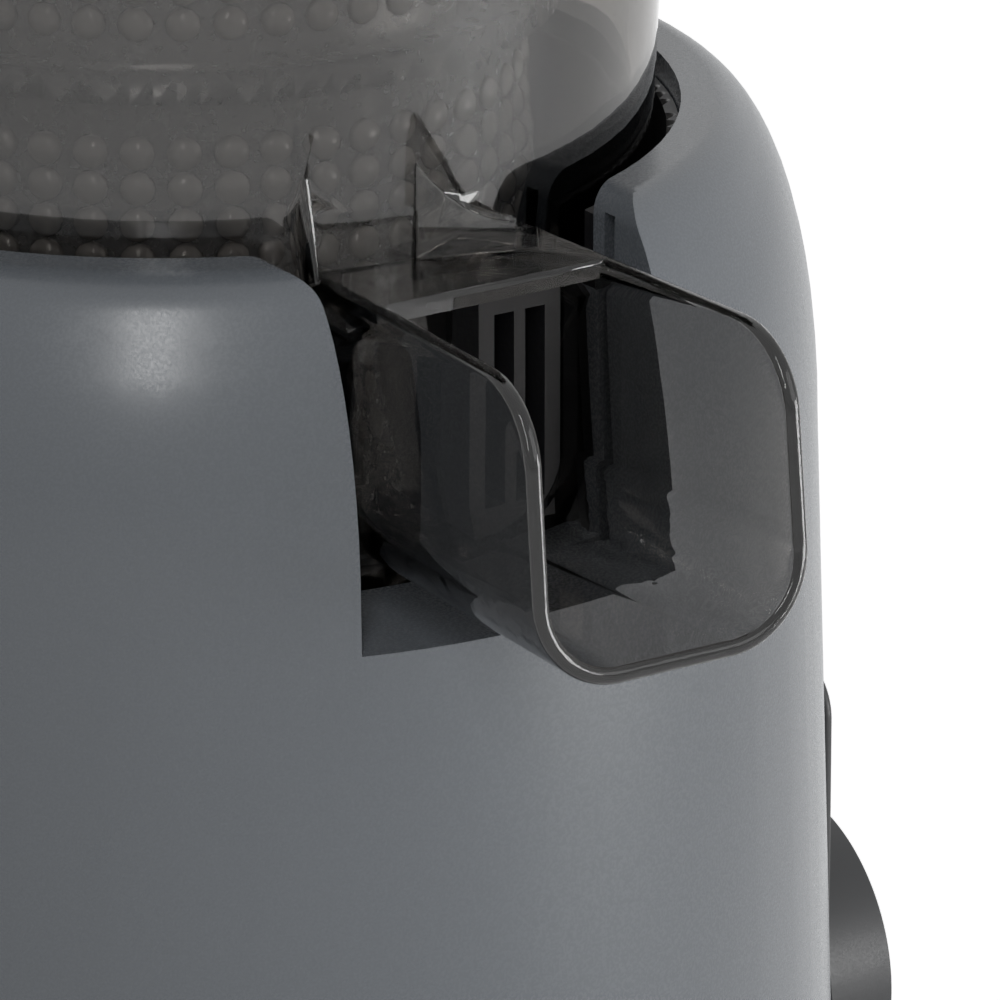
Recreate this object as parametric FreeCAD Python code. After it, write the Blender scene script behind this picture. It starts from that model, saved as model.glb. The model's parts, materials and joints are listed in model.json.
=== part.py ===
import FreeCAD, Part
import math
import os

# Cold press juicer, upright, in millimetres.
# The origin is on the drum axis at the height of the table and +Z is up. The pulp chute points to -Y,
# the knob faces +X, the juice spout faces -X and the cord gland is at the back, +Y.

V = FreeCAD.Vector
X_AXIS = V(1, 0, 0)
Y_AXIS = V(0, 1, 0)
Z_AXIS = V(0, 0, 1)

# Housing
foot_height = 4.0
foot_radius = 9.0
foot_circle = 76.0
foot_spigot_radius = 4.0
foot_spigot_start = 0.5
foot_taper = 1.0
housing_base_radius = 96.0
shoulder_radius = 90.2
shoulder_drop = 46.0
crest_outer_radius = 75.3
collar_radius = 70.7
collar_wall = 2.5
housing_wall = 3.0
deck_drop = 56.0
deck_thickness = 4.0
notch_half_width = 25.65
notch_shift = 0.85
notch_drop = 51.0
notch_sill_radius = 66.5
notch_corner_radius = 4.0
spout_notch_half_width = 16.0
spout_notch_corner_radius = 4.0
base_plate_thickness = 3.0
panel_gap = 0.3

# Liner in the well that takes the bowl
liner_wall = 1.8
liner_gap = 0.2
liner_floor = 2.0
liner_top_drop = 4.0
liner_rib_count = 6
liner_rib_height = 10.0
liner_rib_width = 4.0
bowl_side_clearance = 0.5

# Base fasteners and vents
screw_circle = 80.0
screw_post_radius = 5.0
screw_post_height = 34.0
screw_shank_radius = 1.5
screw_head_radius = 3.0
screw_head_height = 2.0
screw_length = 14.0
screw_angles = (22.5, 112.5, 202.5, 292.5)
foot_angles = (45.0, 135.0, 225.0, 315.0)
vent_count = 7
vent_pitch = 7.0
vent_width = 2.4
vent_length = 44.0

# Bowl, its chute and its spout
bowl_radius = 67.5
bowl_radius_rise = 12.0
bowl_draft = 0.0437
bowl_wall = 3.0
bowl_height = 158.0
bowl_foot_height = 4.0
bowl_foot_width = 6.5
bowl_floor = 3.0
hub_radius = 17.0
hub_bore = 13.5
hub_height = 13.0
weld_gap = 0.05
chute_wall = 2.4
chute_root_half_width = 18.9
chute_mouth_half_width = 21.7
chute_mouth_shift = 0.7
chute_root_reach = 72.0
chute_mouth_reach = 120.5
chute_mouth_lean = 4.2
chute_mouth_corner = 12.0
chute_top_drop = 4.4
chute_bottom_drop = 46.4
chute_corner_radius = 13.0
chute_rim_round = 1.0
chute_roof_reach = 81.0
chute_roof_thickness = 2.7
ledge_width = 2.6
ledge_thickness = 1.8
ledge_drop = 3.4
ledge_reach = 78.5
rib_thickness = 1.4
rib_place = 20.0
rib_height = 13.5
rib_width = 3.2
web_thickness = 1.6
web_start = -3.5
web_end = 10.0
web_end_reach = 71.5
web_height = 14.0
web_end_height = 4.5
spout_clearance = 6.4
spout_reach = 108.0
spout_bore = 8.0
spout_wall = 2.6
spout_flange_radius = 13.5
spout_flange_thickness = 2.0
spout_cap_radius = 12.5
spout_cap_thickness = 3.0
spout_seal_thickness = 1.5
hinge_pin_radius = 1.5
hinge_rise = 15.5
hinge_setback = 3.0
hinge_barrel_radius = 3.4
hinge_ear_thickness = 3.0
hinge_knuckle_width = 9.0
hinge_gap = 0.3
hinge_pin_fit = 0.05
lug_count = 3
lug_span = 24.0
lug_reach = 3.0
lug_height = 3.0
lug_drop = 9.0
lug_start = 30.0

# Pulp outlet sleeve
outlet_half_width = 6.6
outlet_offset = 9.7
outlet_height = 35.5
outlet_proud = 6.0
outlet_slot_width = 3.2
outlet_slot_spacing = 5.0
outlet_rim = 4.0

# Strainer
strainer_radius = 48.5
strainer_wall = 2.5
band_radius = 54.0
band_rise = 16.4
band_height = 4.3
strainer_flange_radius = 66.0
strainer_flange_height = 4.0
strainer_top_drop = 6.0
strainer_port_height = 26.0
strainer_port_half_width = 5.5

# Auger
auger_flight_radius = 45.2
auger_core_bottom_radius = 35.0
auger_core_top_radius = 15.0
auger_top_radius = 40.0
auger_lift = 1.0
auger_top_drop = 22.0
auger_twist = 480.0
auger_flights = 2
auger_recess_gap = 1.5
auger_pin_radius = 4.9
auger_pin_fit = 0.06

# Drive
gear_module = 1.1
pinion_teeth = 12
wheel_teeth = 60
tooth_addendum = 0.8
tooth_dedendum = 1.1
tooth_backlash = 0.14
tooth_flank_angle = 22.0
gear_web_gap = 1.5
gearbox_wall = 2.5
gearbox_floor = 3.0
gearbox_lid_thickness = 5.0
gearbox_inner_height = 30.0
ear_radius = 5.0
ear_overlap = 1.0
ear_height = 11.0
first_wheel_width = 8.0
second_wheel_width = 10.0
first_wheel_lift = 2.0
second_wheel_lift = 15.0
pinion_overhang = 1.0
countershaft_radius = 3.0
running_fit = 0.05
output_shaft_radius = 8.0
output_bush_radius = 11.0
output_boss_radius = 16.0
output_boss_rise = 5.0
shaft_seal_height = 4.0
hex_across_flats = 14.0
hex_fit = 0.1
hex_rise = 44.0
hex_lead = 8.0
sleeve_radius = 11.5
sleeve_roof = 2.5
sleeve_end_gap = 0.3
seal_fit = 0.05

# Motor
motor_clearance = 17.0
motor_plate_thickness = 7.0
motor_plate_radius = 40.0
motor_shaft_radius = 4.0
bearing_radius = 11.0
bearing_height = 6.0
stator_radius = 38.0
stator_bore = 22.4
stator_height = 42.0
stator_headroom = 26.0
armature_gap = 0.6
coil_overhang = 7.0
coil_half_width = 14.0
coil_depth = 6.0
fan_radius = 33.0
fan_height = 8.0
fan_clear = 2.0
fan_blades = 10
commutator_radius = 12.0
commutator_height = 14.0
commutator_drop = 12.0
stator_footroom = 40.0
lower_plate_thickness = 6.0
tie_bolt_circle = 33.0
tie_bolt_radius = 2.0
tie_pillar_radius = 4.5
brush_length = 14.0
brush_width = 6.0
brush_holder_wall = 1.5
brush_gap = 0.1

# Controls
knob_height = 84.0
knob_radius = 24.0
knob_skirt_radius = 25.5
knob_depth = 12.0
knob_gap = 0.5
knob_grip_half_width = 4.5
plate_half_width = 25.8
plate_rise = 54.5
plate_corner = 8.0
plate_face = 95.5
plate_thickness = 1.5
boss_depth = 7.0
switch_size = 28.0
switch_depth = 24.0
switch_neck_radius = 6.0
switch_shaft_radius = 3.0
switch_shaft_depth = 10.0
pointer_width = 1.8
pointer_depth = 0.6
board_width = 52.0
board_height = 42.0
board_thickness = 1.6
board_place = 62.0
board_foot_height = 5.0
relay_size = (11.0, 16.0, 19.0)
relay_place = (-20.0, 14.0)
capacitor_radius = 6.0
capacitor_length = 14.0
capacitor_place = (8.0, 24.0)
terminal_size = (8.0, 8.0, 24.0)
terminal_place = (16.0, 10.0)
cord_height = 30.0
cord_bore = 3.6
gland_radius = 7.0
gland_flange_radius = 9.5
gland_length = 20.0
gland_flange = 2.5
gland_seat = 0.8
safety_switch_place = 58.0
safety_switch_size = (20.0, 10.0, 16.0)
safety_switch_shift = -9.0
safety_lever_margin = 2.0

# Lid and pusher
lid_seal_height = 1.0
lid_plate = 3.0
lid_skirt_wall = 3.5
lid_skirt_depth = 22.0
lid_skirt_gap = 0.6
tube_offset = 36.5
tube_bore = 25.0
tube_wall = 3.0
tube_height = 84.0
tray_grip = 6.0
tray_radius = 46.0
tray_rise = 16.0
tray_wall = 2.5
lid_boss_radius = 10.0
lid_boss_depth = 14.0
lid_bush_radius = 8.0
pusher_gap = 0.8
pusher_wall = 2.5
pusher_end_gap = 2.0
pusher_flange = 5.0
pusher_grip_radius = 19.0
pusher_grip_height = 26.0

# Heights and radii that follow from the values above
cavity_bottom = foot_height + base_plate_thickness
lower_plate_bottom = cavity_bottom + motor_clearance
lower_plate_top = lower_plate_bottom + lower_plate_thickness
stator_bottom = lower_plate_top + stator_footroom
stator_top = stator_bottom + stator_height
gearbox_bottom = stator_top + stator_headroom
gearbox_floor_top = gearbox_bottom + gearbox_floor
gearbox_lid_bottom = gearbox_floor_top + gearbox_inner_height
deck_bottom = gearbox_lid_bottom + gearbox_lid_thickness
deck_top = deck_bottom + deck_thickness
crest_height = deck_top + deck_drop
shoulder_height = crest_height - shoulder_drop
sill_height = crest_height - notch_drop
liner_radius = collar_radius - liner_gap
seat_height = deck_top + liner_floor
bowl_floor_bottom = seat_height + bowl_foot_height
bowl_floor_top = bowl_floor_bottom + bowl_floor
hub_top = bowl_floor_top + hub_height
bowl_top = seat_height + bowl_height
bowl_radius_height = crest_height + bowl_radius_rise
chute_top = crest_height - chute_top_drop
chute_bottom = crest_height - chute_bottom_drop
pinion_radius = gear_module * pinion_teeth / 2
wheel_radius = gear_module * wheel_teeth / 2
shaft_distance = pinion_radius + wheel_radius
gearbox_inner = wheel_radius + gear_module + gear_web_gap
gearbox_outer = gearbox_inner + gearbox_wall
ear_place = gearbox_outer + ear_radius - ear_overlap
first_wheel_bottom = gearbox_floor_top + first_wheel_lift
second_wheel_bottom = gearbox_floor_top + second_wheel_lift
output_boss_top = deck_top + output_boss_rise
motor_plate_bottom = gearbox_bottom - motor_plate_thickness
commutator_top = stator_bottom - commutator_drop
commutator_middle = commutator_top - commutator_height / 2
hex_bottom = deck_top + hex_lead
hex_top = deck_top + hex_rise
sleeve_bottom = bowl_floor_top + auger_lift
sleeve_top = hex_top + sleeve_end_gap + sleeve_roof
auger_bottom = bowl_floor_top + auger_lift
auger_top = bowl_top - auger_top_drop
lid_plate_bottom = bowl_top + lid_seal_height
lid_plate_top = lid_plate_bottom + lid_plate
tube_top = lid_plate_bottom + tube_height
boss_face = plate_face - plate_thickness
spout_mouth = -spout_reach
spout_radius = spout_bore + spout_wall
spout_height = sill_height + spout_radius + spout_clearance
plate_top = knob_height + plate_rise
outlet_low = chute_bottom + chute_wall
outlet_reach = bowl_radius + (chute_top - bowl_radius_height) * bowl_draft + outlet_proud
outlet_left = outlet_offset - outlet_half_width
outlet_right = outlet_offset + outlet_half_width
hinge_x = spout_mouth + hinge_setback
hinge_z = spout_height + hinge_rise


def bowl_outer(z):
    """Outer radius of the bowl at height z."""
    return bowl_radius + (z - bowl_radius_height) * bowl_draft


def housing_outer(z):
    """Outer radius of the straight part of the housing at height z."""
    share = (shoulder_height - z) / (shoulder_height - foot_height)
    return shoulder_radius + (housing_base_radius - shoulder_radius) * share


def rod(radius, z0, z1, x=0.0, y=0.0):
    """Upright cylinder from z0 to z1."""
    return Part.makeCylinder(radius, z1 - z0, V(x, y, z0), Z_AXIS)


def tube(inner, outer, z0, z1, x=0.0, y=0.0):
    """Upright ring from z0 to z1."""
    return rod(outer, z0, z1, x, y).cut(rod(inner, z0 - 1, z1 + 1, x, y))


def rod_x(radius, x0, x1, y, z):
    """Cylinder along X from x0 to x1."""
    return Part.makeCylinder(radius, x1 - x0, V(x0, y, z), X_AXIS)


def rod_y(radius, y0, y1, x, z):
    """Cylinder along Y from y0 to y1."""
    return Part.makeCylinder(radius, y1 - y0, V(x, y0, z), Y_AXIS)


def block(x0, x1, y0, y1, z0, z1):
    """Box between two corners."""
    return Part.makeBox(x1 - x0, y1 - y0, z1 - z0, V(x0, y0, z0))


def face_of(points):
    """Flat face through a closed row of points."""
    return Part.Face(Part.makePolygon(list(points) + [points[0]]))


def turned(points):
    """Solid of revolution about Z from (radius, height) pairs."""
    return face_of([V(r, 0, z) for r, z in points]).revolve(V(0, 0, 0), Z_AXIS, 360)


def about(shape, angle, x=0.0, y=0.0):
    """Copy of a shape turned about an upright axis."""
    copy = shape.copy()
    copy.rotate(V(x, y, 0), Z_AXIS, angle)
    return copy


def around(shape, angles):
    """Copies of a shape turned to each angle."""
    return [about(shape, angle) for angle in angles]


def fused(shapes):
    """One solid from several."""
    return shapes[0].fuse(shapes[1:]).removeSplitter()


def group(shapes):
    """Separate solids kept in one piece list."""
    return Part.makeCompound(shapes)


def wedge_ring(inner, outer, z0, z1, span, middle):
    """Sector of a ring, centred on an angle."""
    sector = Part.makeCylinder(outer, z1 - z0, V(0, 0, z0), Z_AXIS, span)
    sector = sector.cut(rod(inner, z0 - 1, z1 + 1))
    return about(sector, middle - span / 2)


def hexagon(across_flats, z0, z1):
    """Upright hexagonal prism."""
    corner = across_flats / 2 / math.cos(math.pi / 6)
    points = [V(corner * math.cos(math.radians(60 * i)), corner * math.sin(math.radians(60 * i)), z0)
              for i in range(6)]
    return face_of(points).extrude(V(0, 0, z1 - z0))


def housing_outline(inset):
    """Face of the housing's half section, moved inwards by inset, from the base to the crest."""
    low = foot_height
    side_low = V(housing_base_radius - inset, 0, low)
    side_high = V(shoulder_radius - inset, 0, shoulder_height)
    crest = V(crest_outer_radius, 0, crest_height - inset)
    shoulder = Part.Ellipse(crest, side_high, V(crest_outer_radius, 0, shoulder_height))
    arc = Part.ArcOfEllipse(shoulder, 0, math.pi / 2).toShape()
    edges = [
        Part.makeLine(V(0, 0, low), side_low),
        Part.makeLine(side_low, side_high),
        arc,
        Part.makeLine(crest, V(0, 0, crest_height - inset)),
        Part.makeLine(V(0, 0, crest_height - inset), V(0, 0, low)),
    ]
    return Part.Face(Part.Wire(Part.__sortEdges__(edges)))


def notch_cutter(half_width, corner, reach):
    """Prism along -Y with the outline of a notch whose top corners are rounded."""
    low = V(-half_width, 0, sill_height)
    left = V(-half_width, 0, crest_height - corner)
    left_mid = V(-half_width - corner * (1 - math.cos(math.pi / 4)), 0,
                 crest_height - corner * (1 - math.sin(math.pi / 4)))
    left_top = V(-half_width - corner, 0, crest_height)
    roof = crest_height + corner
    mirror = [V(-p.x, 0, p.z) for p in (low, left, left_mid, left_top)]
    edges = [
        Part.makeLine(low, left),
        Part.Arc(left, left_mid, left_top).toShape(),
        Part.makeLine(left_top, V(left_top.x, 0, roof)),
        Part.makeLine(V(left_top.x, 0, roof), V(-left_top.x, 0, roof)),
        Part.makeLine(V(-left_top.x, 0, roof), mirror[3]),
        Part.Arc(mirror[3], mirror[2], mirror[1]).toShape(),
        Part.makeLine(mirror[1], mirror[0]),
        Part.makeLine(mirror[0], low),
    ]
    return Part.Face(Part.Wire(edges)).extrude(V(0, -reach, 0))


def front_notch():
    """Space that the pulp chute needs in the collar."""
    cutter = notch_cutter(notch_half_width, notch_corner_radius, 2 * shoulder_radius)
    cutter.translate(V(notch_shift, 0, 0))
    return cutter


def spout_notch():
    """Space that the juice spout needs in the collar."""
    cutter = notch_cutter(spout_notch_half_width, spout_notch_corner_radius, 2 * shoulder_radius)
    return about(cutter, -90)


def panel_x(x0, x1):
    """Prism along X with the control plate's outline: a round lower end and small upper corners."""
    inner = plate_half_width - plate_corner
    low = block(x0, x1, -plate_half_width, plate_half_width, knob_height, plate_top - plate_corner)
    high = block(x0, x1, -inner, inner, knob_height, plate_top)
    ends = [rod_x(plate_half_width, x0, x1, 0, knob_height)]
    ends += [rod_x(plate_corner, x0, x1, y, plate_top - plate_corner) for y in (-inner, inner)]
    return fused([low, high] + ends)


def stadium_z(radius, z0, z1):
    """Prism with the outline of the gearbox."""
    bar = block(-radius, radius, 0, shaft_distance, z0, z1)
    ends = [rod(radius, z0, z1), rod(radius, z0, z1, 0, shaft_distance)]
    return fused([bar] + ends)


def ear_places():
    """Where the gearbox is screwed to the deck."""
    quarter = shaft_distance / 4
    return [(side * ear_place, y) for side in (-1, 1) for y in (quarter, 3 * quarter)]


def gear(teeth, z0, z1, phase):
    """Spur gear on the drum axis, with straight flanks."""
    pitch = gear_module * teeth / 2
    tip = pitch + tooth_addendum * gear_module
    root = pitch - tooth_dedendum * gear_module
    slope = math.tan(math.radians(tooth_flank_angle))
    half = math.pi * gear_module / 4 - tooth_backlash
    half_tip = half - (tip - pitch) * slope
    half_root = half + (pitch - root) * slope * pitch / (pitch + gear_module)
    points = []
    for tooth in range(teeth):
        middle = math.radians(phase + 360 * tooth / teeth)
        for radius, width in ((root, -half_root), (tip, -half_tip), (tip, half_tip), (root, half_root)):
            turn = middle + width / radius
            points.append(V(radius * math.cos(turn), radius * math.sin(turn), z0))
    return face_of(points).extrude(V(0, 0, z1 - z0))


def make_housing_shell():
    """Moulded outer casing with the collar, the deck and the screw posts."""
    outer = housing_outline(0).revolve(V(0, 0, 0), Z_AXIS, 360)
    cavity = housing_outline(housing_wall).revolve(V(0, 0, 0), Z_AXIS, 360)
    core = rod(collar_radius + collar_wall, deck_bottom, crest_height)
    cavity = cavity.cut(core).cut(rod(2 * shoulder_radius, 0, foot_height))
    reach = 2 * shoulder_radius
    frame_width = notch_half_width + housing_wall
    frame_low = sill_height - housing_wall
    frames = [
        block(notch_shift - frame_width, notch_shift + frame_width, -reach, -collar_radius,
              frame_low, crest_height),
        block(-reach, -collar_radius, -frame_width + notch_half_width - spout_notch_half_width,
              frame_width - notch_half_width + spout_notch_half_width, frame_low, crest_height),
    ]
    shell = outer.cut(cavity.cut(fused(frames)))
    sill = block(notch_shift - notch_half_width, notch_shift + notch_half_width, -collar_radius - 1, 0,
                 deck_top, sill_height)
    sill = sill.cut(rod(notch_sill_radius, 0, crest_height))
    spout_sill = about(block(-spout_notch_half_width, spout_notch_half_width, -collar_radius - 1, 0,
                             deck_top, sill_height), -90).cut(rod(notch_sill_radius, 0, crest_height))
    well = rod(collar_radius, deck_top, crest_height + 1).cut(sill).cut(spout_sill)
    boss = panel_x(boss_face - boss_depth, boss_face)
    shell = shell.cut(well).fuse(boss)
    post = rod(screw_post_radius, cavity_bottom, cavity_bottom + screw_post_height, screw_circle, 0)
    rib = block(screw_circle, housing_outer(cavity_bottom + screw_post_height) - housing_wall / 2,
                -housing_wall / 2, housing_wall / 2, cavity_bottom, cavity_bottom + screw_post_height)
    shell = shell.fuse(around(post.fuse(rib), screw_angles))
    holes = [rod(screw_shank_radius, foot_height, cavity_bottom + screw_length, screw_circle, 0)]
    shell = shell.cut(around(holes[0], screw_angles))
    shell = shell.cut([front_notch(), spout_notch()])
    shell = shell.cut(rod(output_boss_radius + liner_gap, deck_bottom - 1, deck_top + 1))
    shell = shell.cut([rod(screw_shank_radius, deck_bottom - 1, deck_top - 1, x, y)
                       for x, y in ear_places()])
    neck = rod_x(switch_neck_radius, boss_face - boss_depth - 1, boss_face + 1, 0, knob_height)
    wall = housing_outer(cord_height)
    gland_hole = rod_y(gland_radius, wall - 3 * housing_wall, wall + 1, 0, cord_height)
    gland_pocket = rod_y(gland_flange_radius, wall - gland_seat, wall + gland_flange, 0, cord_height)
    plate_pocket = panel_x(boss_face, plate_face + 1)
    return shell.cut([neck, gland_hole, gland_pocket, plate_pocket]).removeSplitter()


def make_seat_liner():
    """Dark liner of the well, with ribs that centre the bowl."""
    wall = tube(liner_radius - liner_wall, liner_radius, deck_top, crest_height - liner_top_drop)
    floor = tube(output_boss_radius + liner_gap, liner_radius, deck_top, seat_height)
    foot = bowl_outer(seat_height) + bowl_side_clearance
    rib = block(foot, liner_radius - liner_wall / 2, -liner_rib_width / 2, liner_rib_width / 2,
                deck_top, seat_height + liner_rib_height)
    angles = [360 * (i + 0.5) / liner_rib_count for i in range(liner_rib_count)]
    liner = fused([wall, floor] + around(rib, angles))
    gap = liner_gap
    sill = block(notch_shift - notch_half_width - gap, notch_shift + notch_half_width + gap,
                 -collar_radius, 0, 0, sill_height + gap)
    side = about(block(-spout_notch_half_width - gap, spout_notch_half_width + gap, -collar_radius, 0,
                       0, sill_height + gap), -90)
    sills = [part.cut(rod(notch_sill_radius - gap, 0, crest_height)) for part in (sill, side)]
    return liner.cut([front_notch(), spout_notch()] + sills)


def make_base_plate():
    """Bottom cover with vents, foot sockets and the board's holder."""
    radius = housing_outer(cavity_bottom) - housing_wall - panel_gap
    plate = rod(radius, foot_height, cavity_bottom)
    sockets = [rod(foot_spigot_radius, 0, cavity_bottom + 1, foot_circle, 0)]
    plate = plate.cut(around(sockets[0], foot_angles))
    first = -(vent_count - 1) / 2 * vent_pitch
    vents = [block(-vent_length / 2, vent_length / 2, first + i * vent_pitch - vent_width / 2,
                   first + i * vent_pitch + vent_width / 2, 0, cavity_bottom + 1)
             for i in range(vent_count)]
    hole = rod(screw_shank_radius + panel_gap, 0, cavity_bottom + 1, screw_circle, 0)
    pocket = rod(screw_head_radius + panel_gap, 0, foot_height + screw_head_height, screw_circle, 0)
    plate = plate.cut(vents).cut(around(hole.fuse(pocket), screw_angles))
    holder = block(-board_place - board_thickness - housing_wall, -board_place + housing_wall,
                   -board_width / 2, board_width / 2, cavity_bottom - 1, cavity_bottom + board_foot_height)
    slot = block(-board_place - board_thickness, -board_place, -board_width / 2, board_width / 2,
                 cavity_bottom, cavity_bottom + board_foot_height + 1)
    return plate.fuse(holder).cut(slot).removeSplitter()


def make_foot(angle):
    """Rubber foot with a spigot in the base plate."""
    pad = Part.makeCone(foot_radius - foot_taper, foot_radius, foot_height, V(foot_circle, 0, 0), Z_AXIS)
    spigot = rod(foot_spigot_radius, foot_height - foot_spigot_start, cavity_bottom, foot_circle, 0)
    return about(pad.fuse(spigot).removeSplitter(), angle)


def make_base_screws():
    """Screws that hold the base plate to the posts."""
    head = rod(screw_head_radius, foot_height, foot_height + screw_head_height, screw_circle, 0)
    shank = rod(screw_shank_radius, foot_height + 1, cavity_bottom + screw_length - 1, screw_circle, 0)
    return group(around(head.fuse(shank).removeSplitter(), screw_angles))


def make_gearbox_case():
    """Cup that holds both gear stages."""
    case = stadium_z(gearbox_outer, gearbox_bottom, gearbox_lid_bottom)
    case = case.cut(stadium_z(gearbox_inner, gearbox_floor_top, gearbox_lid_bottom + 1))
    ears = [rod(ear_radius, gearbox_lid_bottom - ear_height, gearbox_lid_bottom, x, y)
            for x, y in ear_places()]
    inner = stadium_z(gearbox_inner, gearbox_floor_top, gearbox_lid_bottom + 1)
    case = case.fuse([ear.cut(inner) for ear in ears])
    case = case.cut([rod(screw_shank_radius, gearbox_bottom, deck_bottom, x, y) for x, y in ear_places()])
    case = case.cut(rod(pinion_radius + 2 * gear_module, gearbox_bottom - 1, gearbox_floor_top + 1))
    return case.cut(rod(countershaft_radius, gearbox_floor_top - gearbox_floor / 2,
                        gearbox_floor_top + 1, 0, shaft_distance)).removeSplitter()


def make_gearbox_lid():
    """Top plate of the gearbox with the output boss."""
    lid = stadium_z(gearbox_outer, gearbox_lid_bottom, deck_bottom)
    ears = [rod(ear_radius, gearbox_lid_bottom, deck_bottom, x, y) for x, y in ear_places()]
    boss = rod(output_boss_radius, gearbox_lid_bottom, output_boss_top)
    lid = fused([lid, boss] + ears)
    lid = lid.cut([rod(screw_shank_radius, gearbox_bottom, deck_bottom + 1, x, y)
                   for x, y in ear_places()])
    lid = lid.cut(rod(output_bush_radius, gearbox_lid_bottom - 1, output_boss_top + 1))
    return lid.cut(rod(countershaft_radius, gearbox_lid_bottom - 1,
                       deck_bottom - gearbox_lid_thickness / 2, 0, shaft_distance))


def make_gearbox_screws():
    """Screws through the gearbox ears into the deck."""
    low = gearbox_lid_bottom - ear_height
    screws = []
    for x, y in ear_places():
        head = rod(screw_head_radius, low - screw_head_height, low, x, y)
        shank = rod(screw_shank_radius, low - 1, deck_top - 2, x, y)
        screws.append(head.fuse(shank).removeSplitter())
    return group(screws)


def make_countershaft():
    """Fixed pin that the double gear turns on."""
    return rod(countershaft_radius, gearbox_floor_top - gearbox_floor / 2,
               deck_bottom - gearbox_lid_thickness / 2, 0, shaft_distance)


def make_double_gear():
    """Large wheel and small pinion in one piece."""
    wheel = gear(wheel_teeth, first_wheel_bottom, first_wheel_bottom + first_wheel_width,
                 180.0 / wheel_teeth)
    small = gear(pinion_teeth, first_wheel_bottom + first_wheel_width,
                 second_wheel_bottom + second_wheel_width + pinion_overhang, 0)
    double = wheel.fuse(small).removeSplitter()
    double = double.cut(rod(countershaft_radius + running_fit, 0, crest_height))
    double.rotate(V(0, 0, 0), Z_AXIS, -90)
    double.translate(V(0, shaft_distance, 0))
    return double


def make_output_gear():
    """Wheel of the second stage."""
    wheel = gear(wheel_teeth, second_wheel_bottom, second_wheel_bottom + second_wheel_width,
                 90 + 180.0 / wheel_teeth)
    return wheel.cut(rod(output_shaft_radius, 0, crest_height))


def make_output_shaft():
    """Steel shaft with the hexagon that drives the auger."""
    shaft = rod(output_shaft_radius, second_wheel_bottom, hex_bottom)
    nose = Part.makeCone(output_shaft_radius + 1, output_shaft_radius - 2, 3, V(0, 0, hex_top - 3), Z_AXIS)
    prism = hexagon(hex_across_flats, hex_bottom, hex_top)
    keep = rod(output_shaft_radius + 1, hex_bottom, hex_top - 3).fuse(nose)
    collar = rod(output_shaft_radius + 2 * gear_module, second_wheel_bottom + second_wheel_width,
                 gearbox_lid_bottom - running_fit)
    return fused([shaft, prism.common(keep), collar])


def make_output_bush():
    """Sintered bush in the output boss."""
    return tube(output_shaft_radius + running_fit, output_bush_radius, gearbox_lid_bottom,
                output_boss_top - shaft_seal_height)


def make_shaft_seal():
    """Lip seal that keeps juice out of the gearbox."""
    low = output_boss_top - shaft_seal_height
    return tube(output_shaft_radius + seal_fit, output_bush_radius, low, output_boss_top)


def bolt_places():
    """Where the tie bolts stand, left and right of the armature."""
    return [(-tie_bolt_circle, 0.0), (tie_bolt_circle, 0.0)]


def make_motor_bracket_upper():
    """Upper end plate of the motor, under the gearbox."""
    plate = rod(motor_plate_radius, motor_plate_bottom, gearbox_bottom)
    pillars = [rod(tie_pillar_radius, stator_top, motor_plate_bottom + 1, x, y) for x, y in bolt_places()]
    bracket = fused([plate] + pillars)
    bracket = bracket.cut(rod(bearing_radius, gearbox_bottom - bearing_height, gearbox_bottom + 1))
    bracket = bracket.cut(rod(motor_shaft_radius + 2, 0, crest_height))
    return bracket.cut([rod(tie_bolt_radius, 0, gearbox_bottom + 1, x, y) for x, y in bolt_places()])


def make_motor_bracket_lower():
    """Lower end plate of the motor, with the pillars to the stator."""
    plate = rod(motor_plate_radius, lower_plate_bottom, lower_plate_top)
    pillars = [rod(tie_pillar_radius, lower_plate_top - 1, stator_bottom, x, y) for x, y in bolt_places()]
    posts = []
    for side in (-1, 1):
        inner = commutator_radius + brush_gap
        y0 = side * (inner + 1)
        y1 = side * (inner + brush_length)
        posts.append(block(-brush_width / 2 - brush_holder_wall, brush_width / 2 + brush_holder_wall,
                           min(y0, y1), max(y0, y1), lower_plate_top - 1,
                           commutator_middle - brush_width / 2 - brush_holder_wall))
    bracket = fused([plate] + pillars + posts)
    bracket = bracket.cut(rod(bearing_radius, lower_plate_bottom - 1, lower_plate_bottom + bearing_height))
    return bracket.cut([rod(tie_bolt_radius, 0, crest_height, x, y) for x, y in bolt_places()])


def make_motor_bearings():
    """Ball bearings at both ends of the armature."""
    upper = tube(motor_shaft_radius + running_fit, bearing_radius, gearbox_bottom - bearing_height,
                 gearbox_bottom)
    lower = tube(motor_shaft_radius + running_fit, bearing_radius, lower_plate_bottom,
                 lower_plate_bottom + bearing_height)
    return group([upper, lower])


def make_tie_bolts():
    """Long bolts through both brackets and the stator."""
    bolts = []
    for x, y in bolt_places():
        head = rod(screw_head_radius + 1, lower_plate_bottom - screw_head_height, lower_plate_bottom, x, y)
        shank = rod(tie_bolt_radius, lower_plate_bottom - 1, gearbox_bottom - 1, x, y)
        bolts.append(head.fuse(shank).removeSplitter())
    return group(bolts)


def make_stator_core():
    """Laminated stator with room for the coils."""
    core = tube(stator_bore, stator_radius, stator_bottom, stator_top)
    room = 2 * coil_half_width
    slots = [block(-room / 2, room / 2, y - coil_depth / 2, y + coil_depth / 2, 0, crest_height)
             for y in (-stator_bore - coil_depth / 2 - 1, stator_bore + coil_depth / 2 + 1)]
    return core.cut(slots).cut([rod(tie_bolt_radius, 0, crest_height, x, y) for x, y in bolt_places()])


def make_field_coils():
    """Two wound coils in the stator."""
    coils = []
    for side in (-1, 1):
        y = side * (stator_bore + coil_depth / 2 + 1)
        coils.append(block(-coil_half_width, coil_half_width, y - coil_depth / 2, y + coil_depth / 2,
                           stator_bottom - coil_overhang, stator_top + coil_overhang))
    return group(coils)


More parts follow.
